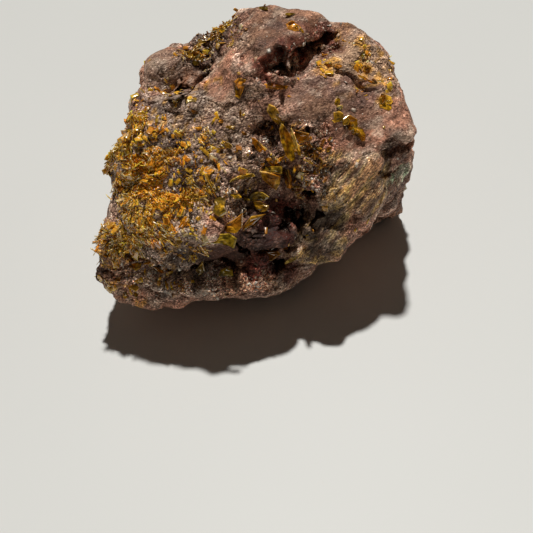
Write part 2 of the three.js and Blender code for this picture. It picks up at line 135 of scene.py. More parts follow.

# hollows, and where the depth is below 0 also ledges, columns and lumps: the middle, the way its length
# runs, half its length and width, the way it goes, how deep, and how dark its painted shade is
DENTS = [
    # the vug under the crown
    ((9.4, 1.3, 33.9), (0.93, 0.28, 0.2), (4, 1.3), (-0.1, 0.9, -0.3), 2.4, 0.32),
    ((4.4, -4, 35.6), (0.72, 0.62, 0.2), (2.3, 1.7), INTO, 2.4, 0.28),
    # the ridge beside the vug faces the light
    ((0.6, -4, 36.4), (0.8, 0.5, 0.2), (2.6, 1.5), INTO, 0.7, 0),
    ((1, -6.5, 33.5), (1, 0.1, 0), (2.6, 1.3), INTO, -0.8, 0),
    ((2.5, -7, 28.6), (1, 0.1, 0), (2.7, 1.2), (0, 0.95, 0.3), 2.2, 0.22),  # under the saddle
    ((5.3, -15.6, 17), (0.2, 0, 1), (2.4, 1.1), INTO, 2.4, 0.9),  # the dark slots beside the red wall
    ((7.2, -15.6, 16.4), (0.3, 0, 1), (2.6, 1), INTO, 2.2, 0.8),
    ((9.2, -15.6, 17), (0.25, 0, 1), (2.6, 0.4), INTO, 1.1, 0.6),
    ((8.6, -13.8, 20.3), (1, 0, 0.2), (1.2, 0.9), INTO, 2, 0.9),
    ((3, -21.1, 12.3), (1, 0, 0.3), (1.5, 0.9), INTO, 1.6, 0.8),
    ((-7.4, -21.9, 12.9), (1, 0, 0), (8, 1.3), UNDER, 2.6, 0.8),  # the cavity over the lip
    ((-20.3, -19.9, 10), (0, 0, 1), (3.8, 2.8), (1, 0.1, 0), -1.5, 0),  # the bulge at the lower left
    ((-16, -20.2, 15), (1, 0.2, -0.6), (2.2, 0.9), INTO, 1.4, 0.6),
    ((3.6, -19.8, 14.9), (1, 0.1, 0.1), (3.2, 0.6), INTO, 1.3, 0.8),  # under the pale ledge
    ((2.9, -20.2, 16.9), (1, 0.1, 0.15), (4, 0.6), INTO, -0.4, 0),  # the pale ledge
    ((-1.2, -20.6, 16.6), (0.6, 0, -1), (1.7, 0.3), INTO, 1.1, 0.6),
    # the dark block, and the pale one over it
    ((20.9, -9.6, 23.9), (1, 0.2, 0), (3.2, 1.4), (-0.3, 0.95, 0), 1.4, 0.32),
    ((21.1, -9.6, 26.3), (1, 0.2, 0), (2, 0.9), (-0.3, 0.9, -0.3), -0.5, 0),
    ((18.6, -10.6, 20.3), (1, 0.2, 0), (1, 0.5), INTO, 1, 0.6),
    ((-8.6, -3, 30.9), (0.83, 0.44, 0.35), (3.4, 0.9), INTO, -1.9, 0),  # fills the groove under the knob
    ((-5.4, -1.7, 32.2), (0.83, 0.44, 0.35), (2.2, 0.6), INTO, -0.9, 0),
    ((-8.9, -3.4, 30.9), (0.9, 0.2, 0.3), (1, 0.4), INTO, 1.5, 0.8),
    ((8, -10.4, 27.9), (1, 0, 0), (0.7, 0.7), INTO, 1.2, 0.7),
    ((15.2, -4, 30.7), (0.8, -0.45, -0.4), (4.5, 1.6), INTO, 0.9, 0),  # under the tan terrace
    ((14, -2, 32.2), (0.8, -0.45, -0.4), (5, 1.2), INTO, -0.4, 0),
    ((6.4, -15.4, 16.4), (0.1, -0.5, -0.85), (2.2, 0.35), INTO, -1.4, 0),  # columns between the dark slots
    ((8.3, -16, 16.6), (0.3, -0.5, -0.85), (2.2, 0.35), INTO, -1.2, 0),
    ((5.6, -1.2, 33), (0.64, -0.55, -0.51), (1.1, 0.55), INTO, -4, 0),  # grey lumps in the vug
    ((4.2, -3, 32.8), (1, 0.2, 0), (1.5, 1.2), INTO, -1.9, 0),
    ((6.6, -2.6, 32.2), (1, 0.2, 0.2), (1.6, 1.2), INTO, -1, 0),
]

# ---- colours (linear)

MAUVE = (0.38, 0.188, 0.116)
GREY = (0.385, 0.248, 0.158)
PALE = (0.62, 0.45, 0.32)
PINK = (0.53, 0.24, 0.142)
BROWN = (0.24, 0.115, 0.060)
UMBER = (0.15, 0.072, 0.040)
TAN = (0.49, 0.305, 0.174)
MAROON = (0.11, 0.022, 0.012)
OCHRE = (0.80, 0.48, 0.12)
PALE_GREEN = (0.50, 0.60, 0.36)
# dirt and painted shade for creases and pits, and dark specks
DARK = (0.075, 0.034, 0.020)
# painted shade for the depths of hollows
BLACK = (0.030, 0.012, 0.007)
CRUST = (0.60, 0.29, 0.040)
SHADED = (0.082, 0.033, 0.020)
KNOB = (0.27, 0.166, 0.108)
PLUM = (0.20, 0.103, 0.070)
OLIVE_GREY = (0.42, 0.36, 0.22)
CROWN = (0.34, 0.168, 0.092)
VUG = (0.24, 0.075, 0.045)
QUARTZ = (0.40, 0.29, 0.215)

GOLD = (0.70, 0.35, 0.030)
HONEY = (0.62, 0.205, 0.008)
ORANGE = (0.85, 0.31, 0.022)
OLIVE = (0.30, 0.175, 0.018)
AMBER = (0.34, 0.110, 0.006)
STRAW = (1.00, 0.66, 0.17)
CREAM = (0.98, 0.70, 0.34)
WHITE = (0.80, 0.68, 0.57)
GREEN_YELLOW = (0.56, 0.36, 0.025)
RUST = (0.30, 0.095, 0.010)
PAINTED_GLOW = (1.0, 0.52, 0.020)

# ---- zones: (x, y, z, radius)

DRUSE_FIELD = [
    (-11.9, -14.6, 24.6, 8), (-13.6, -11, 28, 4.5), (-17.9, -12.2, 25.1, 6), (-11.4, -18.4, 21.2, 5.5),
    (-8.7, -20.9, 19.7, 4), (-19.8, -18.8, 16, 4), (-4.2, -12.6, 27.5, 3.5), (-2.2, 3.3, 36.1, 3.5),
    (-5.9, 1.8, 33.6, 3.5),
]
DRUSE_HEART = [
    (-9.4, -13.2, 26.6, 2.2), (-11.9, -14.6, 24.6, 4.5), (-10.4, -16.8, 22.4, 4), (-15.6, -13.2, 25.6, 2.2),
]
DRUSE_OLIVE = [(-5.9, 1.8, 33.6, 4), (-2.2, 3.3, 36.1, 3.5), (-3, -16.8, 23.9, 3.5)]
DRUSE_SPARSE = [
    (14.6, -1.2, 32.7, 5.5), (18.8, -1.2, 30.8, 5), (-3, -16.8, 23.9, 5), (-9.6, -7.7, 31.1, 5),
    (6, -11.8, 26.3, 4), (-12.5, -7, 30.4, 5.5), (-11.5, -23.1, 12.2, 3.5), (-18.5, -20.2, 11.6, 5.5),
    (9.6, -12.8, 22, 4),
]
SMOOTH = [
    (9.3, 2.8, 36.3, 9), (16.4, -7.7, 28.5, 5.5), (13.6, -8.8, 28, 4.5), (3.1, -4, 37.4, 3.2),
    (-2.6, -4.9, 33.7, 3.6), (-4, -20.9, 15.6, 3.4), (2.8, -19.8, 17, 2.4), (3.8, 0.2, 37.9, 4),
    (12.9, -7.7, 30.1, 5), (20.6, -6.7, 27.5, 4.5), (8.6, -7.8, 30.6, 4.5), (14.2, -10.6, 25.8, 3.5),
    (15.8, -4, 30.6, 4), (-9, -5, 32, 3.5), (-13, 0.6, 33.2, 3.6), (0.5, 18, 25, 6), (-15, 8, 22, 6),
]
BROKEN = [
    (17.6, -11.9, 23.1, 3), (12.7, -13.4, 23.8, 3), (15.4, -13.3, 22.6, 3.5), (13.3, -15, 21.4, 3.8),
    (16.5, -13, 19, 3.5), (11.9, -16.1, 18.7, 3.6), (9.7, -17.2, 17, 3), (10.3, -19, 14.9, 3.2),
    (8.2, -18.5, 13.4, 3),
]
BROKEN_PINK = [(16.2, -14, 21, 3.6), (13.2, -13.4, 24.4, 2.6), (17.6, -12.4, 23.2, 2.6)]
VUGS = [
    (4.4, -5, 35.6, 2.5), (7.7, 0.3, 33.1, 4), (11.3, 1.6, 34.2, 2.6), (6.6, -14.7, 15.2, 3.5),
    (8.6, -13.8, 19.9, 3), (-7.4, -19.8, 12.7, 3.5), (2.7, -6.8, 27.6, 2.6),
]
LUMPY = [
    (8.8, -11.5, 27.5, 3.5), (9.3, -12.9, 25.3, 3.5), (9, -14, 22.5, 3), (3, -12.5, 26, 3.5),
    (-1.5, -16.5, 22.5, 3), (5.5, -1, 33, 3.5), (-5.9, 1.8, 33.6, 4), (-16, -20.2, 14, 5),
    (-10.1, -23.4, 12.2, 3.5), (-4.5, -23.6, 12, 3.5), (1.1, -23.1, 11.6, 3),
]
GILDED = [  # where gold follows the rims of the chips
    (-19, -19.5, 14.5, 5.5), (-14, -20.5, 15.5, 5.5), (-18.5, -20.5, 9.6, 4.5), (-11, -19.5, 18.5, 4.5),
    (-4.2, -4, 33.6, 2.5), (-7, -8.5, 30.5, 4), (8.5, -12.5, 24.5, 4), (14.6, -1.2, 32.7, 5.5),
]

PAINT = [  # colour, share, places
    (QUARTZ, 0.8, (-12, -15, 24.5, 10), (-14, -20, 16, 8), (-8, -9, 30, 6)),
    (TAN, 0.8, (13.2, -0.3, 33.3, 4), (16, -1.2, 32.2, 3.5), (-3.9, -9.2, 29.9, 3)),
    (TAN, 0.6, (18.8, -0.9, 31, 3.5)),
    (CROWN, 0.8, (3.7, 1.4, 38.1, 4), (7.9, 2, 37.5, 5), (12, 3, 36, 4)),
    (KNOB, 0.9, (-11.1, -1.7, 33.9, 4.5)),
    (GREY, 0.75, (-6.2, -10.3, 29.2, 4.5), (-2.8, -9.1, 29.8, 4), (-12.2, -18.3, 21.2, 3.5),
     (-8.7, -19.9, 20.6, 3.5)),
    (GREY, 0.7, (-13.7, -19.9, 18.9, 3), (-0.9, -12.4, 27.1, 3), (-1.7, -16.7, 22.9, 3.5),
     (0.6, 18.2, 25, 12)),
    (GREY, 0.6, (12.6, 12.2, 10, 9), (-15.4, 8.2, 16, 8), (18, 6, 20, 6)),
    (UMBER, 0.9, (-5.7, 1.3, 33.2, 4), (-3.2, 3.9, 35, 3.4)),
    (BROWN, 0.8, (-6.4, -2.4, 31.3, 2.6)),
    (PLUM, 0.85, (15.8, -5, 29.9, 2.8), (17.5, -4.7, 30.1, 2.4), (13.6, -4.6, 31, 2.4), (4, 0.8, 38, 1.8)),
    (PLUM, 0.6, (-4, -9.8, 29, 2), (10.5, -6, 31.2, 2.4), (18.6, -9.6, 26.5, 2), (-6.4, -10.6, 29.2, 1.6)),
    (BROWN, 0.8, (-19.9, -18.3, 16.5, 3.6), (-19.6, -19.7, 12.9, 3.8), (-20.2, -20, 8.9, 3.6),
     (19.2, -11, 15.5, 4)),
    (BROWN, 0.7, (21.9, -0.4, 6, 8), (-5.4, 16.2, 12, 9), (10.2, -8.1, 30.4, 2.5), (-18, 4, 8, 7)),
    (UMBER, 0.8, (8.8, -10.7, 28.8, 2.8), (9.3, -12.9, 25.3, 3), (7.2, -13.2, 24.7, 2.6),
     (3.2, -11.2, 26.8, 2.8)),
    (UMBER, 0.8, (6.1, -10, 29.2, 2.4), (0.1, -16.5, 20.7, 2.6)),
    (SHADED, 0.85, (-4.9, -21.1, 16.2, 3.4), (-2.3, -20.5, 14.9, 3.2)),
    (PINK, 0.75, (-0.7, -4.5, 35.4, 3), (-3.1, -5.4, 32.9, 2.6), (14.2, -10.6, 25.8, 2.4),
     (17.2, -10.4, 25.5, 2.4)),
    (PINK, 0.6, (12.2, -10.6, 26.8, 2.6), (4.9, -5.9, 32.9, 2.4), (20.6, -6.7, 27.5, 2.6)),
    (PALE, 0.65, (20, -9.3, 26.3, 1.6), (21.8, -9.5, 26.4, 1.6), (-11.5, -23.3, 12.2, 3.6),
     (-7.3, -23.6, 12, 3.8)),
    (BROWN, 0.8, (-1.7, -23.5, 11.8, 3.2), (2.4, -22.2, 10.2, 2.2)),
    # painted shade: the cavity over the lip, browner
    (BROWN, 0.75, (-7.4, -20.1, 12.8, 3.2), (-2.4, -21.6, 13.1, 2.2)),
    (SHADED, 0.9, (1.4, -20, 17.1, 2.2), (4.8, -19.3, 16.6, 2.2), (-1, -20.5, 17.2, 2)),
    # painted shade on the lower broken face, which faces down
    (UMBER, 0.75, (9.7, -17.2, 17, 2.6), (10.9, -16.6, 17.9, 2.2), (10.3, -19, 14.9, 2)),
    # the dark block's own colour with painted shade under the pale block, and painted shade in the saddle's
    # hollow
    (UMBER, 0.85, (20, -10.5, 24.3, 1.7), (21.9, -9.1, 22.9, 2), (2.5, -7.7, 28.2, 2.4)),
    (DARK, 0.85, (-10.1, -11.6, 28.3, 1.6)),
    (VUG, 0.9, (4.4, -5, 35.6, 2.4), (7.5, 0.6, 34, 4), (11.3, 1.6, 34.4, 2.8), (2.8, -5.5, 34.4, 1.6)),
    (VUG, 0.9, (2.6, -4.9, 36.4, 1.2), (3.5, -4.4, 37, 1.3), (4.6, -3.4, 37, 1.4), (6.4, -1.8, 36.8, 1.4)),
    (PLUM, 0.7, (4.2, -3, 32.8, 1.8)),
    (QUARTZ, 0.9, (5.6, -1.2, 33, 1), (6.4, -15.8, 16.2, 0.9), (8.3, -16.3, 16.2, 0.9)),
    (MAROON, 0.95, (3.1, -16.6, 18.7, 3.2), (3.5, -18.1, 17.4, 2.6), (5, -16, 17.5, 2.6),
     (0.5, -21.6, 14, 2.2)),
    (MAROON, 0.9, (2.5, -20.7, 13.6, 2.2)),
    (MAROON, 0.7, (7, -14.1, 17, 3), (8.6, -13.8, 20.5, 2.6), (5.2, -20.8, 9.7, 2)),
    (PALE_GREEN, 0.85, (22.3, -7.4, 17.8, 1.7), (21.2, -9.2, 18.2, 1.7), (19.6, -10.6, 19.3, 1.6)),
]

# Painted light and shade, and some plain tone: lighter in shadowed hollows, darker where the rock lies in
# shade
PAINTED_LIGHT_SHADE_AND_TONE = [  # how much lighter or darker the rock is, places
    (0.38, (9.7, -17.4, 16.9, 3), (9.9, -18.6, 14.8, 2.8), (11.1, -16.7, 17.6, 2.2)),
    (0.46, (0.7, -19.6, 17.3, 2.2), (3, -19.5, 17.1, 2), (5.2, -19, 16.5, 2)),
    (0.62, (2.4, -17.3, 18.4, 2.6)),
    (0.52, (-7.4, -20.1, 12.8, 4), (-9.8, -22.1, 15.6, 3)),
    (0.45, (-3.5, 2.1, 34.2, 2.6), (-5.8, 3.6, 33.9, 2.6), (-6, 0.5, 33, 2.4)),
    (0.80, (-2.6, -0.4, 34.8, 2.8), (-4.8, -5.4, 32.5, 1.8)),
    (0.80, (11.9, -14.7, 22.1, 2.6), (10.6, -14.2, 23.7, 2.2), (15.2, -13.4, 22.6, 4)),
    (1.35, (14.2, -10.8, 25.6, 2.6), (16.9, -10.6, 25.3, 2.2)),
    (1.35, (-4.5, -4.6, 32.9, 2.2), (3, -8.6, 28.4, 2.6)),
    (1.20, (-11.2, -3, 32, 2.8), (-13.3, -2.4, 32.2, 2.4)),
    (2.10, (-10.1, -23.4, 12.2, 2.6), (-4.5, -23.6, 12, 2.8), (1.1, -23.1, 11.6, 2.6)),
    (1.80, (3.1, -4.6, 35.4, 2.2), (5.6, -1.8, 34.6, 2)),
]


# ---- noise in numpy

HASH_PRIMES = (73856093, 19349663, 83492791)  # for x, y and z
HASH_SEED = 2654435761
HASH_STEPS = ((15, 2246822519), (13, 3266489917))  # a shift and a factor
WORD = 0xFFFFFFFF
FRACTION_BITS = 0xFFFFFF


def dice(cell, seed):
    """Three numbers from 0 to 1 for each whole-numbered cell, the same on every run."""
    word = seed * HASH_SEED
    for axis, prime in enumerate(HASH_PRIMES):
        word = word ^ (cell[:, axis] * prime)
    word = word & WORD
    rolls = []
    for _ in range(3):
        for shift, factor in HASH_STEPS:
            word = ((word ^ (word >> shift)) * factor) & WORD
        rolls.append((word & FRACTION_BITS) / FRACTION_BITS)
    return np.stack(rolls, axis=1)


def noise(points, size, seed):
    """Three smooth noises from 0 to 1, with features about size wide."""
    scaled = points / size
    home = np.floor(scaled).astype(np.int64)
    part = scaled - home
    part = part * part * (3 - 2 * part)
    total = 0
    for corner in np.ndindex(2, 2, 2):
        weight = np.prod(np.where(np.array(corner) == 1, part, 1 - part), axis=1)
        total = total + dice(home + np.array(corner), seed) * weight[:, None]
    return total


def swing(points, size, seed):
    """As noise, but from -1 to 1."""
    return 2 * noise(points, size, seed) - 1


CELL_START = 0.1  # where in its cell a middle may lie, as shares of the cell
CELL_SPREAD = 0.8
FAR = 9.0  # farther than the nearest middle can be


def cells(points, size, seed):
    """For the nearest cell of a loose grid: how far off its middle and seam are, and its chip's height."""
    home = np.floor(points / size).astype(np.int64)
    nearest = np.full(len(points), FAR)
    second = np.full(len(points), FAR)
    height = np.zeros(len(points))
    for step in np.ndindex(3, 3, 3):
        cell = home + np.array(step) - 1
        away = points / size - (cell + CELL_START + CELL_SPREAD * dice(cell, seed))
        distance = np.linalg.norm(away, axis=1)
        closer = distance < nearest
        second = np.where(closer, nearest, np.minimum(second, distance))
        tilt = 2 * dice(cell, seed + 1) - 1
        lift = dice(cell, seed + 2)[:, 0] - 0.5
        height = np.where(closer, np.sum(tilt * away, axis=1) + lift, height)
        nearest = np.where(closer, distance, nearest)
    return nearest, second - nearest, height


def ease(value, low, high):
    """0 below low, 1 above high, smooth between."""
    share = np.clip((value - low) / (high - low), 0, 1)
    return share * share * (3 - 2 * share)


ZONE_WANDER = 1.2  # how far a zone's edge strays, and over what width
ZONE_RAGS = 1.8
ZONE_EDGE = (-0.05, 0.35)


def zone(points, places):
    """0 to 1: how far a point is inside any of the places, with a ragged edge."""
    moved = points + ZONE_WANDER * swing(points, ZONE_RAGS, 5)
    inside = np.zeros(len(points))
    for *middle, radius in places:
        depth = 1 - np.linalg.norm(moved - middle, axis=1) / radius
        inside = np.maximum(inside, ease(depth, *ZONE_EDGE))
    return inside


def stain(colours, share, other):
    """Mixes each colour with the other one, by its own share, in place."""
    colours += share[:, None] * (np.array(other) - colours)


# ---- mesh helpers

def link(name, data):
    """Puts a new object with this mesh, camera or light into the scene."""
    piece = bpy.data.objects.new(name, data)
    bpy.context.scene.collection.objects.link(piece)
    return piece


def metres(places):
    """Layout places in the part's own frame, in metres, as one run of numbers."""
    return ((np.asarray(places) + SHIFT) * MM).ravel()


def mesh_from(name, corners, triangles):
    """A mesh from layout corners and rows of three corner numbers."""
    mesh = bpy.data.meshes.new(name)
    mesh.vertices.add(len(corners))
    mesh.vertices.foreach_set("co", metres(corners))
    mesh.loops.add(3 * len(triangles))
    mesh.loops.foreach_set("vertex_index", np.asarray(triangles).ravel())
    mesh.polygons.add(len(triangles))
    mesh.polygons.foreach_set("loop_start", np.arange(0, 3 * len(triangles), 3))
    mesh.update(calc_edges=True)
    mesh.validate()
    return mesh


def read(rows, name, width, kind=float):
    """What each row of a mesh's list holds under a name: width numbers."""
    values = np.zeros(len(rows) * width, dtype=kind)
    rows.foreach_get(name, values)
    return values.reshape(-1, width)


def corners_of(mesh):
    return read(mesh.vertices, "co", 3) / MM - SHIFT


def with_modifiers(mesh, **kinds):
    """The mesh with modifiers applied: kind={property: value}."""
    holder = link("holder", mesh)
    for kind, values in kinds.items():
        modifier = holder.modifiers.new(kind, kind)
        for key, value in values.items():
            setattr(modifier, key, value)
    seen = holder.evaluated_get(bpy.context.evaluated_depsgraph_get())
    result = bpy.data.meshes.new_from_object(seen)
    bpy.data.objects.remove(holder)
    return result


def paint(mesh, colours):
    """Stores a tint for each corner of the mesh, for the material to read."""
    layer = mesh.color_attributes.new("tint", "FLOAT_COLOR", "POINT")
    rows = np.column_stack([colours, np.ones(len(colours))])
    layer.data.foreach_set("color", rows.astype(np.float32).ravel())


def store(mesh, name, values):
    layer = mesh.attributes.new(name, "FLOAT", "POINT")
    layer.data.foreach_set("value", values.astype(np.float32))


# ---- rock

def drawn_out(points, run, length):
    """The points drawn together along run, so that noise on them comes out drawn out along it."""
    run = run / np.linalg.norm(run)
    return points - length * (points @ run)[:, None] * run


def folds(points, smooth):
    """Crumpled folds of falling size: their height, and 0 to 1 for how far a point lies in a crease."""
    size, reach = FOLD_WARP
    warped = drawn_out(points, FLOW_RUN, FLOW_LENGTH) + reach * swing(points, size, 20)
    height = np.zeros(len(points))
    crease = np.zeros(len(points))
    patchy = ease(noise(points, 3.0, 29)[:, 0], 0.45, 0.65)
    for octave, (size, depth, calm) in enumerate(FOLDS):
        share = 1 - (1 - calm) * smooth
        bend = np.abs(swing(warped, size, 21 + octave)[:, octave % 3])
        if octave % 2:
            height += share * depth * (FOLD_MIDDLE - bend)
            crease = np.maximum(crease, 0.5 * share * ease(bend, 0.6, 0.9))
        else:
            height += share * depth * (bend - FOLD_MIDDLE)
            crease = np.maximum(crease, 0.6 * share * patchy * (1 - ease(bend, 0.0, 0.12)))
    return height, crease


def dents(points):
    """How the hollows and ledges move each point, and 0 to 1 for how dark the painted shade in a hollow makes
    it.
    """
    moves = np.zeros(points.shape)
    hollow_shade = np.zeros(len(points))
    wobble = 0.7 * swing(points, 1.3, 31) + 0.35 * swing(points, 0.5, 32)
    for middle, run, (length, width), way, depth, painted_dark in DENTS:
        way = np.array(way) / np.linalg.norm(way)
        run = np.array(run) - (np.array(run) @ way) * way
        run = run / np.linalg.norm(run)
        side = np.cross(way, run)
        away = points - middle + wobble
        from_middle = np.hypot(away @ run / length, away @ side / width)
        edge = STEEP_EDGE if painted_dark or abs(depth) > STEEP_DEPTH else SOFT_EDGE
        share = ease(1 - from_middle, 0.0, edge) * (np.abs(away @ way) < DENT_REACH)
        moves += depth * share[:, None] * way
        hollow_shade = np.maximum(hollow_shade, painted_dark * share) if depth > 0 else hollow_shade * (1 - share)
    return moves, hollow_shade


def rock_relief(points):
    """How far the rock's skin stands out at each point, and how deep it lies in a crease or pit."""
    broken = zone(points, BROKEN)
    vuggy = np.maximum(zone(points, VUGS), DRUSE_VUGGY * zone(points, DRUSE_FIELD))
    smooth = np.maximum(zone(points, SMOOTH), BROKEN_CALM * broken)
    rough = 1 - SMOOTH_CALM * smooth + LUMPY_ROUGH * zone(points, LUMPY)
    height, crease = folds(points, smooth)
    for seed, (size, depth) in enumerate(CHIPS):
        _, seam, plane = cells(points, size, 40 + 3 * seed)
        height += rough * depth * (plane - 0.5 * (1 - ease(seam, 0, 0.10)))
    size, depth = PITS
    middle, _, _ = cells(points, size, 51)
    pit = (1 - ease(middle, 0.10, 0.40)) * ease(noise(points, 4.0, 52)[:, 0] + 0.3 * vuggy, 0.5, 0.7)
    height -= (0.3 + 0.7 * vuggy) * rough * depth * pit
    size, depth = STREAKS
    streaked = drawn_out(points, STREAK_RUN, STREAK_LENGTH)
    height += broken * depth * swing(streaked, size, 61)[:, 0]
    return height, np.clip(crease + rough * pit, 0, 1)


def druse_share(points):
    """0 to 1: how thickly the druse covers each point."""
    flow = drawn_out(points, FLOW_RUN, FLOW_LENGTH)
    broad = 0.6 * noise(flow, 3.2, 211)[:, 0] + 0.4 * noise(flow, 0.9, 212)[:, 0]
    heart = zone(points, DRUSE_HEART)
    return zone(points, DRUSE_FIELD) * ease(broad + 0.09 * heart, 0.52, 0.60)


def rock_colour(points, height, crease_dirt_and_shade, hollow_shade):
    """The rock's stains: named patches over mauve-brown, broken up by noise at three sizes, with dirt and
    painted shade in creases, pits and hollows, and painted light and shade from the relief and by place.
    """
    flow = drawn_out(points, FLOW_RUN, FLOW_LENGTH)
    broad = noise(flow, 5.0, 101)
    middling = noise(flow, 1.8, 102)
    fine = noise(flow, 0.65, 103)
    colour = np.tile(np.array(MAUVE), (len(points), 1))
    stain(colour, 0.8 * ease(0.6 * broad[:, 0] + 0.4 * middling[:, 0], 0.42, 0.62), GREY)
    stain(colour, 0.5 * ease(0.5 * broad[:, 1] + 0.5 * middling[:, 1], 0.50, 0.68), PINK)
    stain(colour, 0.45 * ease(0.5 * middling[:, 2] + 0.5 * fine[:, 2], 0.52, 0.7), BROWN)
    stain(colour, 0.6 * ease(0.6 * broad[:, 2] + 0.4 * middling[:, 0], 0.50, 0.62), PLUM)
    for other, share, *places in PAINT:
        stain(colour, share * zone(points, places), other)
    broken = zone(points, BROKEN)
    stain(colour, 0.7 * broken, GREY)
    streaked = drawn_out(points, STREAK_RUN, STREAK_LENGTH)
    wide = noise(streaked, 0.9, 111)
    thin = noise(streaked, 0.4, 112)
    pinkish = 0.6 * zone(points, BROKEN_PINK)
    stain(colour, 0.65 * broken * ease(0.45 * wide[:, 0] + 0.55 * thin[:, 0], 0.52, 0.63), OCHRE)
    stain(colour, pinkish * ease(1 - 0.6 * wide[:, 1] - 0.4 * thin[:, 1], 0.46, 0.58), PINK)
    stain(colour, 0.4 * broken * ease(0.6 * wide[:, 1] + 0.4 * thin[:, 1], 0.54, 0.66), OLIVE_GREY)
    stain(colour, 0.75 * broken * ease(0.5 * wide[:, 2] + 0.5 * thin[:, 2], 0.55, 0.66), BROWN)
    crust = druse_share(points)
    lit = ease(colour[:, 0], 0.10, 0.30)
    frosty = ease(fine[:, 0] * 0.6 + middling[:, 1] * 0.4, 0.54, 0.70)
    stain(colour, 0.6 * lit * (1 - crust) * frosty, PALE)
    stain(colour, 0.95 * crust, CRUST)
    stain(colour, 0.7 * crust * ease(fine[:, 1], 0.5, 0.7), GOLD)
    spots = ease(0.35 * middling[:, 0] + 0.65 * fine[:, 2], 0.60, 0.68)
    stain(colour, 0.7 * zone(points, DRUSE_SPARSE) * spots, CRUST)
    rim = 1 - ease(np.abs(swing(flow, 1.5, 104)[:, 0]), 0.0, 0.22)
    stain(colour, 0.85 * zone(points, GILDED) * rim * ease(middling[:, 2], 0.40, 0.55), CRUST)
    # dirt and painted shade in the creases and pits, less under the druse
    stain(colour, (0.8 - 0.4 * zone(points, DRUSE_FIELD)) * crease_dirt_and_shade, DARK)
    # painted shade deep in the hollows
    stain(colour, hollow_shade, BLACK)
    # tone that wanders with noise, and the relief painted as shade: darker in its hollows, lighter on its
    # crests
    shade = (0.5 + fine[:, 1]) * (0.75 + 0.5 * middling[:, 0]) * (0.72 + 0.56 * ease(height, -0.5, 0.5))
    for tone, *places in PAINTED_LIGHT_SHADE_AND_TONE:
        shade = shade * (1 + (tone - 1) * zone(points, places))
    return colour * shade[:, None]


def make_rock():
    mesh = with_modifiers(
        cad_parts["matrix"].data.copy(),
        REMESH={"mode": "VOXEL", "voxel_size": ROCK_VOXEL * MM},
        SMOOTH={"factor": 0.5, "iterations": ROCK_SMOOTHING},
    )
    first = corners_of(mesh)
    height, crease_dirt_and_shade = rock_relief(first)
    moves, hollow_shade = dents(first)
    floor_hold = ease(first[:, 2], 0.0, FLOOR_HOLD)
    rise = (height + ROCK_GROWTH) * floor_hold
    places = first + read(mesh.vertex_normals, "vector", 3) * rise[:, None] + moves
    places[:, 2] = np.maximum(places[:, 2], 0.0)
    mesh.vertices.foreach_set("co", metres(places))
    mesh.update()
    finder = KDTree(len(places))
    for i, place in enumerate(places.tolist()):
        finder.insert(place, i)
    finder.balance()
    share = ROCK_TRIANGLES / (2 * len(mesh.polygons))
    mesh = with_modifiers(mesh, TRIANGULATE={}, DECIMATE={"ratio": min(1.0, share)})
    same = np.array([finder.find(place)[1] for place in corners_of(mesh).tolist()])
    first = first[same]
    paint(mesh, rock_colour(first, height[same], crease_dirt_and_shade[same], hollow_shade[same]))
    broken = zone(first, BROKEN)
    store(mesh, "rough", 1 - SMOOTH_CALM * np.maximum(zone(first, SMOOTH), BROKEN_SHEER * broken))
    store(mesh, "broken", broken)
    store(mesh, "lumpy", zone(first, LUMPY))
    mesh.shade_flat()
    rock = link("rock", mesh)
    mesh.materials.clear()
    mesh.materials.append(rock_material())
    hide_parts("matrix")
    return rock


# ---- small things on the rock

def unit(vectors):
    return vectors / np.maximum(np.linalg.norm(vectors, axis=1), 1e-9)[:, None]


class Ground:
    """The rock's skin, from which places for small crystals and grains are drawn."""

    def __init__(self, rock):
        mesh = rock.data
        mesh.calc_loop_triangles()
        rows = read(mesh.loop_triangles, "vertices", 3, np.int64)
        places = corners_of(mesh)
        self.triangles = places[rows]
        first, second, third = self.triangles.transpose(1, 0, 2)
        across = np.cross(second - first, third - first)
        self.normals = unit(across)
        self.areas = np.linalg.norm(across, axis=1) / 2
        self.middles = self.triangles.mean(axis=1)
        self.tints = read(mesh.color_attributes["tint"].data, "color", 4)[rows[:, 0], :3]
        self.tree = BVHTree.FromPolygons(places.tolist(), rows.tolist())

    def gaps(self, points):
        """How far each point stands off the rock: below 0 inside it."""
        found = [self.tree.find_nearest(Vector(point)) for point in points]
        skin = np.array([near[0] for near in found])
        outwards = np.array([near[1] for near in found])
        return np.sum((points - skin) * outwards, axis=1)

    def skin(self, points):
        """Where each point comes to lie on the rock when it is pushed back from the crystal side."""
        result = points.copy()
        for i, point in enumerate(points):
            start = Vector(point + SKIN_START * OUTWARDS)
            hit = self.tree.ray_cast(start, Vector(-OUTWARDS), SKIN_REACH)[0]
            if hit is not None:
                result[i] = hit
        return result

    def draw(self, wish, count, random):
        """count places, their normals and the rock's tints; wish is how dense each triangle should be."""
        weights = self.areas * wish
        picked = random.choice(len(weights), size=count, p=weights / weights.sum())
        far = np.sqrt(random.random(count))[:, None]
        side = random.random(count)[:, None]
        triangle = self.triangles[picked]
        places = (1 - far) * triangle[:, 0] + far * (1 - side) * triangle[:, 1] + far * side * triangle[:, 2]
        return places, self.normals[picked], self.tints[picked]


def frames(normals, lean, random):
    """For each normal, three axes of a small thing: the third leans from the normal by about lean."""
    count = len(normals)
    up = unit(normals + lean * unit(random.normal(size=(count, 3))) * random.random((count, 1)))
    side = unit(np.cross(up, unit(random.normal(size=(count, 3)))))
    return side, np.cross(up, side), up


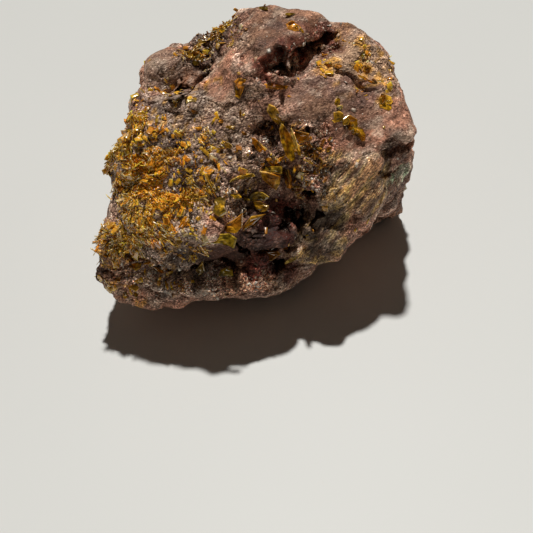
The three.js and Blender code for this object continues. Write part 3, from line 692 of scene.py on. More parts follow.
def lay(normals, origins, rear, roll, random):
    """Axes of small blades that lie along the rock, alike among neighbours: rear is how far a blade rears up,
    and roll how far it turns about its own length, both in radians."""
    across = unit(np.cross(normals, FLOW_RUN))
    turn = DRUSE_TURN * noise(origins, DRUSE_TURN_SIZE, 221)[:, :1]
    turn = turn + DRUSE_STRAY * random.normal(size=(len(origins), 1))
    along = np.cos(turn) * across + np.sin(turn) * np.cross(normals, across)
    along = unit(along * np.cos(rear) + normals * np.sin(rear))
    face = unit(normals - np.sum(normals * along, axis=1)[:, None] * along)
    side = np.cross(along, face)
    face, side = np.cos(roll) * face + np.sin(roll) * side, np.cos(roll) * side - np.sin(roll) * face
    return side, face, along


def copies(shape, faces, origins, axes, sizes):
    """One joined mesh's corners and faces: the shape, scaled and turned, at each origin."""
    corners = origins[:, None, :]
    for k, axis in enumerate(axes):
        corners = corners + (shape[None, :, k] * sizes[:, k:k + 1])[:, :, None] * axis[:, None, :]
    step = len(shape) * np.arange(len(origins))
    return corners.reshape(-1, 3), (faces[None] + step[:, None, None]).reshape(-1, 3)


def small_piece(name, corners, triangles, tints, material):
    """One joined piece of small things, with a tint for each corner."""
    corners[:, 2] = np.maximum(corners[:, 2], LOWEST)
    mesh = mesh_from(name, corners, triangles)
    paint(mesh, np.clip(tints, 0, 1))
    mesh.materials.append(material)
    piece = link(name, mesh)
    return piece


def tablet_shape():
    """A flat square tablet with bevelled rims, standing on its lower edge: its corners, faces and the painted
    shade of each corner, lighter at the rim and darker on one face. Its width is along X, its height along Z,
    and its thickness along Y."""
    rim = [(-0.5, 0), (0.5, 0), (0.5, 1), (-0.5, 1)]
    inner = [(TABLET_CHAMFER * x, 0.5 + TABLET_CHAMFER * (z - 0.5)) for x, z in rim]
    layers = ((inner, -0.5), (rim, 0.0), (inner, 0.5))
    corners = [(x, y, z) for layer, y in layers for x, z in layer]
    faces = [(0, 1, 2), (0, 2, 3), (10, 9, 8), (11, 10, 8)]
    for ring in (0, 4):
        for i in range(4):
            j = (i + 1) % 4
            faces += [(ring + i, ring + 4 + i, ring + 4 + j), (ring + i, ring + 4 + j, ring + j)]
    return np.array(corners), np.array(faces), [1.0] * 4 + [1.4] * 4 + [0.8] * 4


def flake_shape():
    """A flat square crystal with pointed faces, standing on its lower edge; as tablet_shape, but plainer."""
    corners = [(-0.5, 0, 0), (0.5, 0, 0), (0.5, 0, 1), (-0.5, 0, 1), (0, -0.5, 0.5), (0, 0.5, 0.5)]
    faces = [(i, (i + 1) % 4, 4) for i in range(4)] + [((i + 1) % 4, i, 5) for i in range(4)]
    return np.array(corners), np.array(faces), [1.1, 0.7, 1.1, 1.3, 1.0, 0.7]


def grain_shape():
    """A small blunt grain: an octahedron whose corners are uneven."""
    corners = [(1, 0.1, 0), (-1, -0.1, 0.1), (0.1, 1, -0.1), (-0.1, -1, 0), (0.2, 0.1, 1), (0, 0, -1)]
    faces = [(0, 2, 4), (2, 1, 4), (1, 3, 4), (3, 0, 4), (2, 0, 5), (1, 2, 5), (3, 1, 5), (0, 3, 5)]
    return np.array(corners), np.array(faces)


def make_grains(ground):
    random = np.random.default_rng(GRAIN_SEED)
    middles = ground.middles
    everywhere, on_smooth, in_vugs, on_lumpy = GRAIN_WISH
    wish = everywhere + on_smooth * zone(middles, SMOOTH)
    wish = wish + in_vugs * zone(middles, VUGS) + on_lumpy * zone(middles, LUMPY)
    origins, normals, tints = ground.draw(wish, GRAINS, random)
    shape, faces = grain_shape()
    low, high = GRAIN_SIZE
    size = low + (high - low) * random.random((GRAINS, 1)) ** 2
    least, more = GRAIN_UNEVEN
    sizes = size * (least + more * random.random((GRAINS, 3)))
    sunk = origins - GRAIN_SUNK * size * normals
    corners, faces = copies(shape, faces, sunk, frames(normals, GRAIN_LEAN, random), sizes)
    least, more, more_in_vugs = GRAIN_SHADE
    shades = least + (more + more_in_vugs * zone(origins, VUGS)[:, None]) * random.random((GRAINS, 1))
    tints = np.repeat(tints * shades, len(shape), axis=0)
    return small_piece("grains", corners, faces, tints, grain_material())


DRUSE_TINTS = [  # colour, share, which of three noises, how much more in the heart, from and to what noise
    (HONEY, 1.0, 0, 0.20, 0.50, 0.66),
    (ORANGE, 0.9, 1, 0.16, 0.56, 0.74),
    (OLIVE, 0.8, 2, -0.20, 0.57, 0.70),
    (GREEN_YELLOW, 0.6, 0, -0.20, 0.62, 0.75),
]


def druse_tints(origins, pale_share, random):
    """A tint for each small crystal, alike among neighbours: orange in the heart of the druse, gold and olive
    round it."""
    count = len(origins)
    heart = zone(origins, DRUSE_HEART)
    clump = noise(origins, DRUSE_CLUMP, 201) + DRUSE_MOTTLE * (random.random((count, 3)) - 0.5)
    colours = np.tile(np.array(GOLD), (count, 1))
    for other, share, which, more, low, high in DRUSE_TINTS:
        stain(colours, share * ease(clump[:, which] + more * heart, low, high), other)
    stain(colours, 0.7 * zone(origins, DRUSE_OLIVE), OLIVE)
    stain(colours, 0.8 * ease(random.random(count), 0.72, 0.95), AMBER)
    pale = random.random(count) < pale_share * (1.3 - 0.8 * heart)
    least, more = DRUSE_SHADE
    colours *= (least + more * random.random(count))[:, None]
    stain(colours, 0.9 * pale, CREAM)
    return colours


def flake_tints(origins, random):
    """A tint for each pale flake of the rock's own crystals."""
    colours = np.tile(np.array(WHITE), (len(origins), 1))
    stain(colours, ease(noise(origins, 2.0, 231)[:, 0], 0.4, 0.6), TAN)
    return colours * (0.4 + 1.1 * random.random((len(origins), 1)))


def druse_wishes(middles):
    """For each kind of small crystal, how densely it stands on each of the rock's triangles."""
    field = zone(middles, DRUSE_FIELD)
    sparse = zone(middles, DRUSE_SPARSE)
    cover = druse_share(middles)
    spotty = ease(noise(middles, 1.6, 213)[:, 0], 0.5, 0.65)
    craggy = zone(middles, LUMPY) + 0.6 * zone(middles, VUGS) + 0.25 * field
    return {
        "druse_fine": cover + 0.02 * field,
        "druse_slivers": cover + 0.02 * field,
        "druse_coarse": cover + 0.1 * field,
        "druse_loose": 0.003 + 0.2 * sparse * spotty + 0.05 * field,
        "flakes": 0.03 + craggy,
    }


def make_druse(name, ground, wish):
    """One joined piece of small crystals that lie on the rock or rear up from it."""
    count, (low, high), (narrow, wide), power, pale_share, seed = DRUSES[name]
    random = np.random.default_rng(seed)
    origins, normals, _ = ground.draw(wish, count, random)
    shape, faces, shades = tablet_shape() if high > LONGEST_FLAKE else flake_shape()
    length = low + (high - low) * random.random(count) ** power
    width = length * (narrow + (wide - narrow) * random.random(count))
    least, more = DRUSE_FLAT
    thickness = np.minimum(width, DRUSE_THICKEST) * (least + more * random.random(count))
    least, more = DRUSE_REAR
    rear = least + more * random.random((count, 1)) ** 3
    roll = DRUSE_ROLL * random.normal(size=(count, 1))
    axes = lay(normals, origins, rear, roll, random)
    origins = origins - (DRUSE_SUNK * length)[:, None] * axes[2] + DRUSE_LIFT * thickness[:, None] * normals
    sizes = np.stack([width, thickness, length], axis=1)
    corners, faces = copies(shape, faces, origins, axes, sizes)
    if name == "flakes":
        tints, material, slot = flake_tints(origins, random), grain_material(), "matrix_rock"
    else:
        tints, material, slot = druse_tints(origins, pale_share, random), druse_material(), "wulfenite_druse"
    # each corner's painted shade: rims lighter, one face darker
    tints = np.repeat(tints, len(shape), axis=0) * np.tile(shades, count)[:, None]
    return small_piece(name, corners, faces, tints, material)


# ---- blades

SIDEWAYS = np.array([0.998, 0.009, -0.057])  # across and up the crystal side, and out from it
UPWARDS = np.array([0.032, 0.737, 0.675])
OUTWARDS = np.array([0.048, -0.676, 0.735])

# node: for each of its plates its tint, middle, lean (mm outwards for each mm sideways and upwards),
# thickness, and outline in mm sideways and upwards from the middle
CRYSTALS = {
    "blade_top_fan": [(GOLD, (4.3, -9.1, 30.1), (-0.2, 0.5), 0.45, [(-1.1, 1.5), (-0.3, 1.2), (0.5, 0.4),
        (1.1, -0.6), (0.9, -1.4), (0.4, -1.2), (-0.6, -0.5), (-1.4, 0.6)])],
    "blade_twin": [
        (AMBER, (5.7, -11.1, 28.4), (-0.35, 0.25), 0.4, [(-0.9, 1.5), (-0.6, 1.3), (0.3, 0.1), (0.9, -1.1),
            (1.4, -2), (1.2, -3.3), (0.5, -3.5), (-0.2, -2.9), (-0.9, -1.1), (-1.2, 0.5)]),
        (STRAW, (6.6, -11.7, 28.2), (2.2, 0.4), 0.15, [(-0.7, 1.4), (-0.4, 1.5), (0.1, 0.2), (0.5, -1.2),
            (0.2, -1.5), (-0.2, -0.3)]),
    ],
    "blade_side": [(HONEY, (7.7, -11.1, 28.6), (0.3, 0.5), 0.35, [(-1.1, 0.5), (0.9, -0.1), (0.9, -1),
        (-0.3, -1.3), (-0.9, -0.8)])],
    "blade_honey_bar": [
        (HONEY, (2.6, -12.1, 26.1), (-0.3, 0.3), 0.5, [(-2, 2.1), (-1.5, 1.9), (-0.2, 0.6), (0.8, -0.4),
            (2.1, -1.6), (2.3, -2.3), (1.5, -2.3), (0.2, -1.1), (-1.2, 0.3), (-1.9, 1.4)]),
        (STRAW, (2.8, -12.2, 26.3), (-0.5, -0.2), 0.2, [(-1.7, 1.9), (-0.2, 0.7), (0.8, -0.2), (1.9, -1.2),
            (1.6, -1.3), (0.5, -0.4), (-0.5, 0.6)]),
    ],
    "blade_honey": [
        (HONEY, (3, -14.3, 23.7), (0.1, 0.6), 0.5, [(-1.4, 0.9), (-0.3, 0.7), (1.5, 0.2), (1.4, -0.9),
            (0.9, -1.7), (0.2, -1.2), (-0.9, -0.3)]),
        (OLIVE, (3.1, -14.2, 24), (0.1, -0.3), 0.4, [(-1.4, 0.7), (-0.6, 1.2), (1.7, 1.2), (1.6, 0.1),
            (0.3, 0.3)]),
    ],
    "blade_olive_strip": [(OLIVE, (-0.6, -15.4, 25.1), (-0.4, 0.3), 0.4, [(1.5, 0.4), (1.7, 0.1),
        (0.5, -0.3), (-0.8, -0.5), (-1.8, -0.9), (-1.5, -0.5), (-0.6, 0), (0.6, 0.4)])],
    "blade_thin": [
        (RUST, (5.3, -13.8, 22.6), (1, 0.1), 0.3, [(-0.6, 1.5), (-0.2, 1.5), (0.3, 0.1), (0.5, -1.2),
            (0.1, -1.1), (-0.3, 0.2)]),
        (HONEY, (5.6, -13.8, 22.8), (-1.5, 0.1), 0.2, [(-0.1, 1.3), (0.1, 1.2), (0.5, -1), (0.3, -1.1)]),
    ],
    "blade_yellow_stub": [
        (GOLD, (1.7, -16.7, 20.6), (0.2, 0.3), 0.7, [(-1.1, 0.6), (-0.2, 0.6), (1.1, 0.1), (0.8, -0.6),
            (-0.1, -0.8), (-0.8, -0.3)]),
        (OLIVE, (1.2, -15.9, 22), (0.1, 0.5), 0.4, [(-1.5, -0.8), (-0.8, 0.2), (0.2, 0.4), (0.8, 0.3),
            (1.7, -0.3), (1.1, -0.8)]),
    ],
    "blade_olive_twist": [(OLIVE, (-3.9, -19.3, 22.4), (0.2, -0.4), 0.7, [(-0.6, 1.7), (0.2, 2), (0.9, 1.8),
        (0.8, 0.6), (1.1, -0.2), (0.2, -0.8), (-0.8, -0.3), (-0.6, 0.8)])],
    "blade_orange": [(ORANGE, (-2.2, -19.8, 21), (0.3, 0.2), 0.4, [(-1.4, -0.8), (0.3, 0.2), (1.5, 1.1),
        (1.4, -0.8), (0.5, -1.7), (-0.9, -1.5)])],
    "blade_ledge": [(GREEN_YELLOW, (-4, -21.6, 19.3), (0.1, 0.3), 0.4, [(-2.7, 0), (-1.1, 0.7), (1.4, 0.8),
        (2.4, 0.1), (2, -1.2), (1.1, -0.5), (-1.1, -0.6), (-2, -0.4)])],
    "blade_pink_edge": [(AMBER, (0.5, -19.1, 19.5), (0.1, 0.4), 0.3, [(-1.8, -1.2), (-1.2, -0.1),
        (-0.2, 1.1), (1.8, 1.4), (0.2, -0.2), (-1.1, -0.8)])],
    "blade_brown_low": [(RUST, (2.4, -20, 13.9), (0, 0.2), 0.5, [(-1.1, 0.8), (1.2, 0.8), (1.7, 0.3),
        (0.3, -0.6), (-0.8, -0.5)])],
    "blade_yellow_low": [(GREEN_YELLOW, (-4.1, -22.1, 13.2), (0, 0.3), 0.5, [(-0.6, -0.5), (-0.3, 0.3),
        (0.5, 0.7), (1.4, 0.3), (1.5, -0.5)])],
    "blade_pale_fin": [(OLIVE, (-7.2, -22.2, 14.4), (0.5, 0.2), 0.25, [(-0.6, -0.2), (0.4, 0.9), (0.8, -0.5),
        (-0.2, -1.1)])],
    "blade_pale": [(STRAW, (5.7, -19.1, 12.2), (0.1, 0.3), 0.3, [(-1.2, -0.5), (-0.3, 0.2), (0.5, 0.5),
        (0.5, 0), (-0.2, -0.4), (-1.1, -0.7)])],
    "plate_square": [(GOLD, (19.3, -5.2, 29.4), (0.3, 0), 0.45, [(-0.9, 0), (0, 0.5), (0.9, 0.2),
        (0.9, -1.5), (0.5, -1.8), (-0.9, -1.4)])],
    "plate_brown": [
        (HONEY, (14.2, -9.2, 28.6), (0.1, 0.1), 0.4, [(-0.9, 0.5), (0, 1.1), (1.1, 0.5), (1.2, -0.8),
            (0, -0.8)]),
        (AMBER, (14.2, -9.2, 28.6), (0, 0), 0.35, [(0.6, -0.5), (1.8, -0.6), (2.4, -1.8), (1.5, -2.1),
            (0.8, -1.4)]),
    ],
    "plate_glint": [(GOLD, (12.6, -8.7, 29.6), (0.1, 0.2), 0.5, [(-0.6, 0.3), (0.2, 0.6), (0.8, 0.2),
        (0.8, -0.8), (-0.5, -1.1)])],
    "plates_crown": [(ORANGE, (7, 1.1, 37.7), (0.1, 0.3), 0.45, [(-1.1, 0.2), (-0.3, 0.6), (0.9, -0.2),
        (1.1, -0.8), (0.2, -1.1), (-0.8, -0.8)])],
    "plates_ridge": [(ORANGE, (-0.9, -6.4, 33.2), (0.1, 0.2), 0.5, [(-0.5, 0.8), (0.3, 1.2), (1.2, 0.9),
        (0.9, -0.2), (0.3, -1.5), (-0.3, -1.2), (-0.2, -0.2)])],
    "plate_vug": [(ORANGE, (4.2, -6.7, 33.2), (0, 0.2), 0.6, [(-1.5, 0.3), (-0.8, 0.6), (0.8, 0.3), (2, 0.3),
        (1.7, -0.2), (0, -0.3), (-1.2, -0.2)])],
    "plates_groove": [(STRAW, (-7.4, -7.1, 32.3), (0, 0.2), 0.35, [(-0.8, 0), (0, 0.3), (0.9, 0),
        (0.8, -0.6), (-0.5, -0.8)])],
}

# The shade of each ring is painted light and shade, lightest at the rim; straw there is a painted highlight.
RINGS = [  # share of the outline, share of half the thickness, shade, share of straw
    (0.30, 1.0, 1.3, 0.0),
    (0.68, 1.0, 0.7, 0.0),
    (0.92, 0.9, 1.1, 0.0),
    (1.00, 0.2, 1.5, 0.7),
    (1.00, -0.2, 1.3, 0.5),
    (0.90, -1.0, 0.7, 0.0),
]

RIM_WANDER = 0.05  # how uneven a crystal's rings and faces are
FACE_WANDER = 0.09
UNEVEN_TO = 0.9  # the share of the outline within which the faces are uneven
SEAT_SHARE = 0.1  # the share of a blade's corners that comes to lie under the rock's skin
SEAT_DEPTH = 0.05
SEAT_REACH = 1.4
DRAPE_LIFT = 0.06  # how far a plate that lies on the rock stands off it, and half its thickness


def crystal(tint, middle, lean, thickness, outline, ground, flat, random):
    """One plate with stepped, uneven faces, painted highlights on its rims and painted light shining
    through it in patches: its corners, triangles and colours. A flat one lies on the rock and follows it;
    any other is pushed back until its root is in the rock."""
    rim = np.array(outline)
    heart = rim.mean(axis=0)
    count = len(rim)
    face = OUTWARDS - lean[0] * SIDEWAYS - lean[1] * UPWARDS
    face = face / np.linalg.norm(face)
    corners = []
    colours = []
    for share, lift, shade, straw in RINGS:
        ring = heart + (rim - heart) * share
        if share < 1:
            ring = ring + RIM_WANDER * random.uniform(-1, 1, rim.shape)
        along = ring[:, :1] * (SIDEWAYS + lean[0] * OUTWARDS) + ring[:, 1:] * (UPWARDS + lean[1] * OUTWARDS)
        places = np.array(middle) + along
        rise = np.full((count, 1), 0.5 * thickness * lift)
        if flat:
            places = ground.skin(places) + DRAPE_LIFT * face
            rise[:] = DRAPE_LIFT * lift
        if share < UNEVEN_TO:
            rise = rise + FACE_WANDER * random.uniform(-1, 1, (count, 1))
        corners.append(places + rise * face)
        patch = noise(corners[-1], 1.0, 301)
        base = np.array(tint) * shade * (0.1 + patch[:, :1] + 0.2 * random.random((count, 1)))
        # patches of painted light shining through the crystal
        stain(base, 0.8 * ease(patch[:, 2], 0.62, 0.78), PAINTED_GLOW)
        # painted highlights on the rims, in patches
        stain(base, straw * ease(patch[:, 1], 0.42, 0.62), STRAW)
        colours.append(base)
    corners = np.concatenate(corners)
    if not flat:
        gap = np.quantile(ground.gaps(corners), SEAT_SHARE)
        corners = corners - min(gap + SEAT_DEPTH, SEAT_REACH) * OUTWARDS
    triangles = []
    last = (len(RINGS) - 1) * count
    for i in range(count):
        j = (i + 1) % count
        for low in range(0, last, count):
            high = low + count
            triangles += [(low + i, high + i, high + j), (low + i, high + j, low + j)]
        if 0 < i < count - 1:
            triangles += [(0, i, i + 1), (last, last + i + 1, last + i)]
    return corners, triangles, np.concatenate(colours)


def crystal_piece(name, crystals):
    """One joined piece of crystals: each is its corners, triangles and colours."""
    corners, faces, tints = zip(*crystals)
    starts = np.cumsum([0] + [len(places) for places in corners])
    triangles = np.concatenate([np.array(rows) + start for rows, start in zip(faces, starts)])
    corners, tints = np.concatenate(corners), np.concatenate(tints)
    piece = small_piece(name, corners, triangles, tints, blade_material())
    piece.data.shade_flat()
    return piece


def make_crystals(node, plates, ground, seed):
    """The crystal or crystals that stand where the node's solid is."""
    random = np.random.default_rng(seed)
    flat = node.startswith("plate")
    piece = crystal_piece(node + "_crystal", [crystal(*plate, ground, flat, random) for plate in plates])
    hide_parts(node)
    return piece


SMALL_OUTLINE = np.array([(-0.5, -0.1), (-0.35, 0.4), (0.2, 0.5), (0.5, 0.2), (0.4, -0.35), (-0.1, -0.5)])
# tint, place, the way its length runs in degrees from sideways, length, width
SMALL_CRYSTALS = [
    (OLIVE, (2.8, 3.9, 38.5), 0, 1.5, 0.7), (OLIVE, (6.5, 3.1, 37.9), 5, 1.5, 0.45),
    (ORANGE, (6.6, 1.6, 37.5), 20, 1, 0.6), (ORANGE, (7.3, 0.9, 37.3), -50, 1, 0.6),
    (GOLD, (8, 0.4, 37.1), -40, 0.9, 0.4), (OLIVE, (-6.8, 0.4, 32.7), 60, 1.5, 1),
    (GREEN_YELLOW, (-5.7, 1.7, 33.3), -20, 1.3, 0.8), (GOLD, (-4.7, 3.2, 34.2), 30, 1.2, 0.6),
    (OLIVE, (-3.2, 3.9, 35), 20, 1.1, 0.7), (OLIVE, (-7.6, 1.6, 33.2), -30, 1.2, 0.8),
    (AMBER, (-7, -8.5, 30.9), -20, 1.4, 0.4), (GREEN_YELLOW, (-4.3, -9.3, 29.8), 60, 1.3, 0.4),
    (ORANGE, (-3.3, -9.3, 29.7), 0, 0.7, 0.6), (AMBER, (-0.7, -8.5, 30.1), 85, 1.3, 0.4),
    (GOLD, (-2.1, -9.9, 29), -5, 1.3, 0.6), (AMBER, (-0.3, -10.5, 28.4), -30, 0.9, 0.45),
    (GOLD, (-2.5, -11.9, 27.6), -30, 1.4, 0.6), (OLIVE, (-1.6, -16.8, 22.6), -15, 1.6, 0.7),
    (OLIVE, (-0.4, -16.6, 22.2), -35, 1.4, 0.3), (GOLD, (6.5, -13.9, 21.3), 0, 1.2, 0.25),
    (AMBER, (6.5, -14.1, 20.9), 5, 1.3, 0.25), (GOLD, (6.7, -14.2, 20.5), -8, 1, 0.25),
    (STRAW, (7.4, -11, 28.4), -25, 1.4, 0.3), (STRAW, (7.3, -11.9, 26.9), 0, 1.3, 0.2),
    (GOLD, (9.8, -12.2, 26.8), -20, 1, 0.4), (AMBER, (11.1, -12, 26.2), 30, 1.1, 0.7),
    (GOLD, (12.6, -7.2, 30.6), 70, 1.2, 0.8), (STRAW, (12.9, -7.7, 30.1), 10, 1, 0.5),
    (AMBER, (8.2, -13.8, 24), 40, 1, 0.4), (RUST, (10.6, -14.6, 23.1), 60, 1.2, 0.4),
    (ORANGE, (-6.3, -16.8, 23.7), -40, 1.2, 0.5), (STRAW, (-11, -20.6, 18.3), -50, 1.6, 0.2),
    (STRAW, (-10.6, -20.8, 18), -48, 1.4, 0.15), (GOLD, (-9.7, -21.8, 16.5), -40, 1.9, 0.35),
    (ORANGE, (12.9, -2.1, 32.6), 5, 1.1, 0.6), (AMBER, (16.9, -1.5, 31.5), 60, 1.2, 1),
    (ORANGE, (16.2, -2.8, 31.1), -28, 1.9, 0.35), (ORANGE, (17.3, -3.3, 30.8), -30, 1.5, 0.3),
    (AMBER, (17.8, -3.2, 30.7), -50, 1, 0.5), (GREEN_YELLOW, (16.4, 0.4, 32.4), 80, 1.2, 0.5),
    (OLIVE, (8.3, -16.8, 16.7), 85, 2.2, 0.5), (AMBER, (-4.3, -13.7, 26.6), -60, 1.4, 0.4),
    (GOLD, (-11.8, -21, 17), -60, 1.5, 0.3), (ORANGE, (-14.4, -20.3, 13.9), 25, 1.6, 0.4),
    (GOLD, (-13.2, -21, 12.9), -20, 1.6, 0.3), (GOLD, (-8.2, -21.3, 17.7), -10, 1.3, 0.3),
    (AMBER, (14.2, -9.3, 27.7), 10, 1.2, 0.8), (HONEY, (14.9, -9.7, 27.3), -30, 1.6, 0.9),
    (GOLD, (13.7, -8.8, 28.3), 50, 1.2, 0.8), (HONEY, (15.9, -10, 26.4), -60, 1, 0.7),
    (HONEY, (18.9, -5.3, 29.3), 85, 1.4, 0.9), (GOLD, (19.8, -5.6, 29), 40, 1.1, 0.8),
    (AMBER, (7, -12, 26.5), -75, 2.2, 0.5), (HONEY, (8.6, -11.8, 27.4), -100, 2, 0.5),
    (AMBER, (9.4, -12.4, 26.2), -60, 1.6, 0.4), (GOLD, (8.4, -13.2, 25.2), -20, 1.5, 0.4),
    (AMBER, (6.6, -13.4, 24.4), -110, 1.7, 0.4), (RUST, (9.6, -13.8, 24.2), -70, 1.5, 0.5),
    (HONEY, (4.6, -12.8, 25.6), -140, 1.8, 0.4), (AMBER, (10.4, -11.6, 27.2), -120, 1.4, 0.5),
    (GOLD, (11.4, -10.9, 27.1), 30, 0.9, 0.4), (GOLD, (-16.4, -19.8, 12.7), 60, 1.6, 1.1),
    (AMBER, (-16.9, -19.8, 13.1), 100, 1.3, 0.7), (ORANGE, (-13.2, -20.8, 12.6), -30, 2.8, 0.35),
    (STRAW, (-16.9, -18.9, 14.5), -52, 2, 0.25), (GOLD, (-19.2, -19.9, 15), 80, 2, 0.7),
    (OLIVE, (-19.5, -18.8, 15.7), 20, 1.3, 0.8), (GOLD, (-19.9, -18.4, 16), 35, 1.6, 0.4),
    (AMBER, (-18.5, -18.8, 16.9), 30, 1.7, 0.4), (GOLD, (-17, -19.3, 17.9), 25, 1.7, 0.45),
    (GOLD, (-18.6, -21.4, 8.3), 80, 1.2, 0.6), (GOLD, (-17, -21.7, 8.5), 110, 0.9, 0.5),
    (ORANGE, (-19.3, -20.9, 10.9), 0, 0.8, 0.4), (GOLD, (-15.2, -20.9, 12.4), 95, 1.2, 0.4),
]
SMALL_THICKNESS = 0.22
SMALL_LEAN = 0.6
SMALL_SEED = 31


def make_small_crystals(ground):
    """One joined piece of the small crystals that can be told apart but have no solid of their own."""
    random = np.random.default_rng(SMALL_SEED)
    crystals = []
    for tint, place, degrees, length, width in SMALL_CRYSTALS:
        turn = np.radians(degrees)
        spin = np.array([(np.cos(turn), np.sin(turn)), (-np.sin(turn), np.cos(turn))])
        wander = RIM_WANDER * random.uniform(-1, 1, SMALL_OUTLINE.shape)
        outline = (SMALL_OUTLINE * (length, width) + wander) @ spin
        middle = ground.skin(np.array([place]))[0]
        lean = random.uniform(-SMALL_LEAN, SMALL_LEAN, 2)
        crystals.append(crystal(tint, middle, lean, SMALL_THICKNESS, outline, ground, False, random))
    return crystal_piece("crystals_small", crystals)


# ---- materials

class Nodes:
    """Short calls for building one node material."""

    def __init__(self, name):
        self.material = bpy.data.materials.new(name)
        self.material.use_nodes = True
        self.tree = self.material.node_tree
        self.shader = self.tree.nodes["Principled BSDF"]
        self.at_rest = self.node("TexCoord", "Object")
        self.place = self.at_rest

    def feed(self, socket, value):
        """Links another socket to this one, or sets its number, numbers or colour."""
        if isinstance(value, bpy.types.NodeSocket):
            self.tree.links.new(value, socket)
        else:
            socket.default_value = (*value, 1) if socket.type == "RGBA" else value

    def node(self, kind, output, inputs=None, **settings):
        """Makes a node and returns one of its outputs."""
        node = self.tree.nodes.new("ShaderNode" + kind)
        for name, value in settings.items():
            setattr(node, name, value)
        for name, value in (inputs or {}).items():
            self.feed(node.inputs[name], value)
        return node.outputs[output]

    def draw_out(self, run, times):
        """From here on, noise comes out drawn out along run."""
        turn = Vector(run).to_track_quat("X", "Z").to_euler()
        inputs = {"Vector": self.at_rest, "Rotation": turn, "Scale": (times, 1, 1)}
        self.place = self.node("Mapping", "Vector", inputs, vector_type="TEXTURE")

    def tint(self):
        return self.node("VertexColor", "Color", layer_name="tint")

    def value(self, name):
        return self.node("Attribute", "Fac", attribute_name=name)

    def noise(self, size, detail=4.0, roughness=0.6):
        """Noise with features about size millimetres wide."""
        inputs = {"Vector": self.place, "Scale": 1 / (size * MM), "Detail": detail, "Roughness": roughness}
        return self.node("TexNoise", "Fac", inputs)

    def ramp(self, source, low, high, start=0.0, end=1.0):
        """Maps low..high of the source to start..end."""
        inputs = {"Value": source, "From Min": low, "From Max": high, "To Min": start, "To Max": end}
        return self.node("MapRange", "Result", inputs)

    def patches(self, size, detail, *reach):
        """Noise with features about size millimetres wide, mapped by reach as in ramp."""
        return self.ramp(self.noise(size, detail), *reach)

    def crests(self, size, detail=3.0, width=0.14):
        """1 along thin crests about size millimetres apart, falling to 0 between them."""
        off = self.node("Math", 0, {0: self.noise(size, detail), 1: 0.5}, operation="SUBTRACT")
        bare = self.node("Math", 0, {0: off}, operation="ABSOLUTE")
        return self.ramp(bare, 0.0, width, 1.0, 0.0)

    def mix(self, share, first, second, blend="MIX"):
        """Mixes two colours, each a socket or three numbers."""
        inputs = {0: share, 6: first, 7: second}  # 6 and 7 take colours, as output 2 gives one
        return self.node("Mix", 2, inputs, data_type="RGBA", blend_type=blend)

    def bump(self, height, distance, strength=1.0, below=None):
        inputs = {"Height": height, "Distance": distance * MM, "Strength": strength}
        if below is not None:
            inputs["Normal"] = below
        return self.node("Bump", "Normal", inputs)

    def cloud(self, patches, size, distance, strength):
        """Clouds the tint with patches, and makes the faces uneven over about size millimetres."""
        colour = self.mix(1.0, self.tint(), self.patches(*patches), "MULTIPLY")
        self.set(Base_Color=colour, Normal=self.bump(self.noise(size, 3.0), distance, strength))

    def set(self, **values):
        for name, value in values.items():
            self.feed(self.shader.inputs[name.replace("_", " ")], value)


# what the rock's tint is multiplied by: the lighter, the less red
DEEP = (0.42, 0.37, 0.37)
DIM = (0.70, 0.65, 0.65)
EVEN = (1.0, 1.0, 1.0)
BRIGHT = (1.30, 1.33, 1.36)
GLARING = (1.65, 1.75, 1.84)
SPECKS_AND_PAINTED_GLINTS = (2.3, 2.5, 2.7)


def rock_material():
    nodes = Nodes("matrix rock")
    rough = nodes.value("rough")
    broken = nodes.value("broken")
    nodes.draw_out(FLOW_RUN, FLOW_STRETCH)

    def times(share, colour, factor):
        return nodes.mix(share, colour, nodes.mix(1.0, colour, factor, "MULTIPLY"))

    crests = nodes.crests(0.8)
    strokes = nodes.crests(0.42, 1.0, 0.09)
    crumbs = nodes.noise(0.9, 7.0, 0.78)
    colour = times(rough, nodes.tint(), nodes.ramp(crests, 0.0, 1.0, 0.85, 1.2))
    colour = times(1.0, colour, nodes.mix(nodes.ramp(crumbs, 0.36, 0.64), DIM, BRIGHT))
    strong = nodes.ramp(rough, 0.2, 1.0, 0.38, 1.0)
    colour = times(strong, colour, nodes.mix(nodes.patches(0.18, 0.5, 0.36, 0.64), DEEP, GLARING))
    stroked = times(nodes.patches(1.3, 2.0, 0.42, 0.56), colour, nodes.mix(strokes, DIM, GLARING))
    colour = nodes.mix(broken, stroked, colour)
    lumpy = nodes.value("lumpy")
    colour = times(lumpy, colour, nodes.mix(nodes.patches(0.28, 2.0, 0.43, 0.54), DEEP, BRIGHT))
    colour = times(lumpy, colour, nodes.ramp(nodes.crests(0.7, 2.0, 0.05), 0.2, 1.0, 1.0, 2.8))
    colour = times(lumpy, colour, nodes.patches(0.34, 1.0, 0.60, 0.64, 1.0, 2.2))
    colour = times(lumpy, colour, nodes.patches(0.40, 1.0, 0.38, 0.34, 1.0, 0.25))
    # pale specks and painted glints: small spots up to 2.7 times lighter
    colour = times(1.0, colour, nodes.mix(nodes.patches(0.22, 1.0, 0.63, 0.70), EVEN, SPECKS_AND_PAINTED_GLINTS))
    colour = nodes.mix(nodes.patches(0.26, 2.0, 0.41, 0.35, 0.0, 0.85), colour, DARK)
    low = nodes.bump(nodes.noise(0.6, 7.0, 0.78), 0.14)
    high = nodes.bump(crests, 0.05, 0.8, low)
    fine = nodes.bump(strokes, 0.04, 0.6, high)
    nodes.draw_out(STREAK_RUN, STREAK_STRETCH)
    colour = times(broken, colour, nodes.patches(0.20, 2.0, 0.38, 0.62, 0.45, 1.75))
    roughness = nodes.patches(0.35, 3.0, 0.35, 0.65, 0.38, 0.85)
    nodes.set(Base_Color=colour, Roughness=roughness, Normal=fine, Specular_IOR_Level=0.3)
    return nodes.material


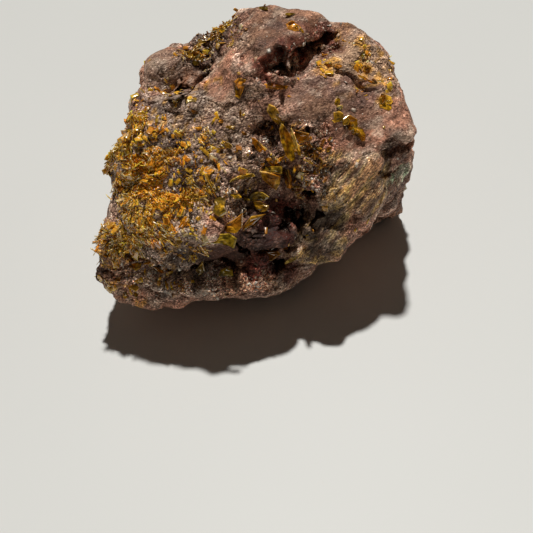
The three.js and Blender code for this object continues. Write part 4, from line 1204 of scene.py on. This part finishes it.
@cache
def grain_material():
    nodes = Nodes("grains")
    colour = nodes.mix(nodes.patches(0.3, 2.0, 0.4, 0.65, 0.0, 0.35), nodes.tint(), PALE)
    roughness = nodes.patches(0.5, 4.0, 0.35, 0.65, 0.16, 0.5)
    nodes.set(Base_Color=colour, Roughness=roughness, Specular_IOR_Level=0.7)
    return nodes.material


@cache
def druse_material():
    nodes = Nodes("wulfenite druse")
    nodes.cloud((0.35, 3.0, 0.35, 0.65, 0.55, 1.4), 0.3, 0.03, 0.6)
    nodes.set(Roughness=0.2, IOR=1.6, Transmission_Weight=0.15, Specular_IOR_Level=0.3)
    return nodes.material


@cache
def blade_material():
    nodes = Nodes("wulfenite blade")
    nodes.cloud((0.7, 3.0, 0.36, 0.64, 0.30, 1.65), 0.4, 0.05, 0.35)
    nodes.set(Roughness=nodes.patches(0.5, 4.0, 0.3, 0.7, 0.06, 0.22))
    nodes.set(IOR=1.55, Transmission_Weight=0.2, Specular_IOR_Level=0.3, Specular_Tint=(1.0, 0.78, 0.40))
    return nodes.material


def floor_material():
    nodes = Nodes("pale floor")
    colour = nodes.mix(nodes.noise(60.0, 2.0), (0.68, 0.685, 0.665), (0.71, 0.715, 0.695))
    nodes.set(Base_Color=colour, Roughness=0.55)
    return nodes.material


# ---- camera, light, floor

CAMERA_AT = (9.11, -120.56, 121.27)
CAMERA_LOOK = (-0.0481378, 0.67585636, -0.73545968)
CAMERA_UP = (0.03227831, 0.7369813, 0.67514196)
LENS = 70.83
SENSOR = 36.0
CLIP_START = 0.005  # in metres

SUN_FROM = (0.028, 0.353, 0.935)
SUN_STRENGTH = 3.0
SUN_ANGLE = 0.05  # in radians: how wide the sun looks
SUN_COLOUR = (1.0, 0.985, 0.95)
SKY = (0.048, 0.042, 0.036)

FLOOR_REACH = 1500


def make_camera():
    data = bpy.data.cameras.new("camera")
    data.sensor_width = SENSOR
    data.sensor_height = SENSOR
    data.sensor_fit = "HORIZONTAL"
    data.lens = LENS
    data.clip_start = CLIP_START
    camera = link("camera", data)
    look = Vector(CAMERA_LOOK).normalized()
    up = Vector(CAMERA_UP).normalized()
    axes = np.column_stack([look.cross(up), up, -look, metres(CAMERA_AT)])
    camera.matrix_world = Matrix([*axes.tolist(), (0, 0, 0, 1)])
    bpy.context.scene.camera = camera


def make_lights():
    data = bpy.data.lights.new("key", "SUN")
    data.energy = SUN_STRENGTH
    data.angle = SUN_ANGLE
    data.color = SUN_COLOUR
    sun = link("key", data)
    sun.rotation_mode = "QUATERNION"
    sun.rotation_quaternion = Vector(SUN_FROM).to_track_quat("Z", "Y")
    world = bpy.data.worlds.new("room")
    world.use_nodes = True
    world.node_tree.nodes["Background"].inputs["Color"].default_value = (*SKY, 1)
    bpy.context.scene.world = world


def make_floor():
    square = [(-1, -1, 0), (1, -1, 0), (1, 1, 0), (-1, 1, 0)]
    mesh = mesh_from("floor", FLOOR_REACH * np.array(square), [(0, 1, 2), (0, 2, 3)])
    mesh.materials.append(floor_material())
    floor = link("floor", mesh)


# ---- the scene

def main():
    make_camera()
    make_lights()
    make_floor()
    rock = make_rock()
    ground = Ground(rock)
    grains = make_grains(ground)
    wishes = druse_wishes(ground.middles)
    druse = {name: make_druse(name, ground, wish) for name, wish in wishes.items()}
    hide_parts(*[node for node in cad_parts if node.startswith("druse_")])
    pieces = [rock, grains, *druse.values()]
    for seed, (node, plates) in enumerate(CRYSTALS.items()):
        pieces.append(make_crystals(node, plates, ground, seed))
    pieces.append(make_small_crystals(ground))
    for piece in pieces:
        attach(piece, "root")


bpy.context.scene.view_settings.view_transform = "Standard"
main()

bpy.context.view_layer.update()
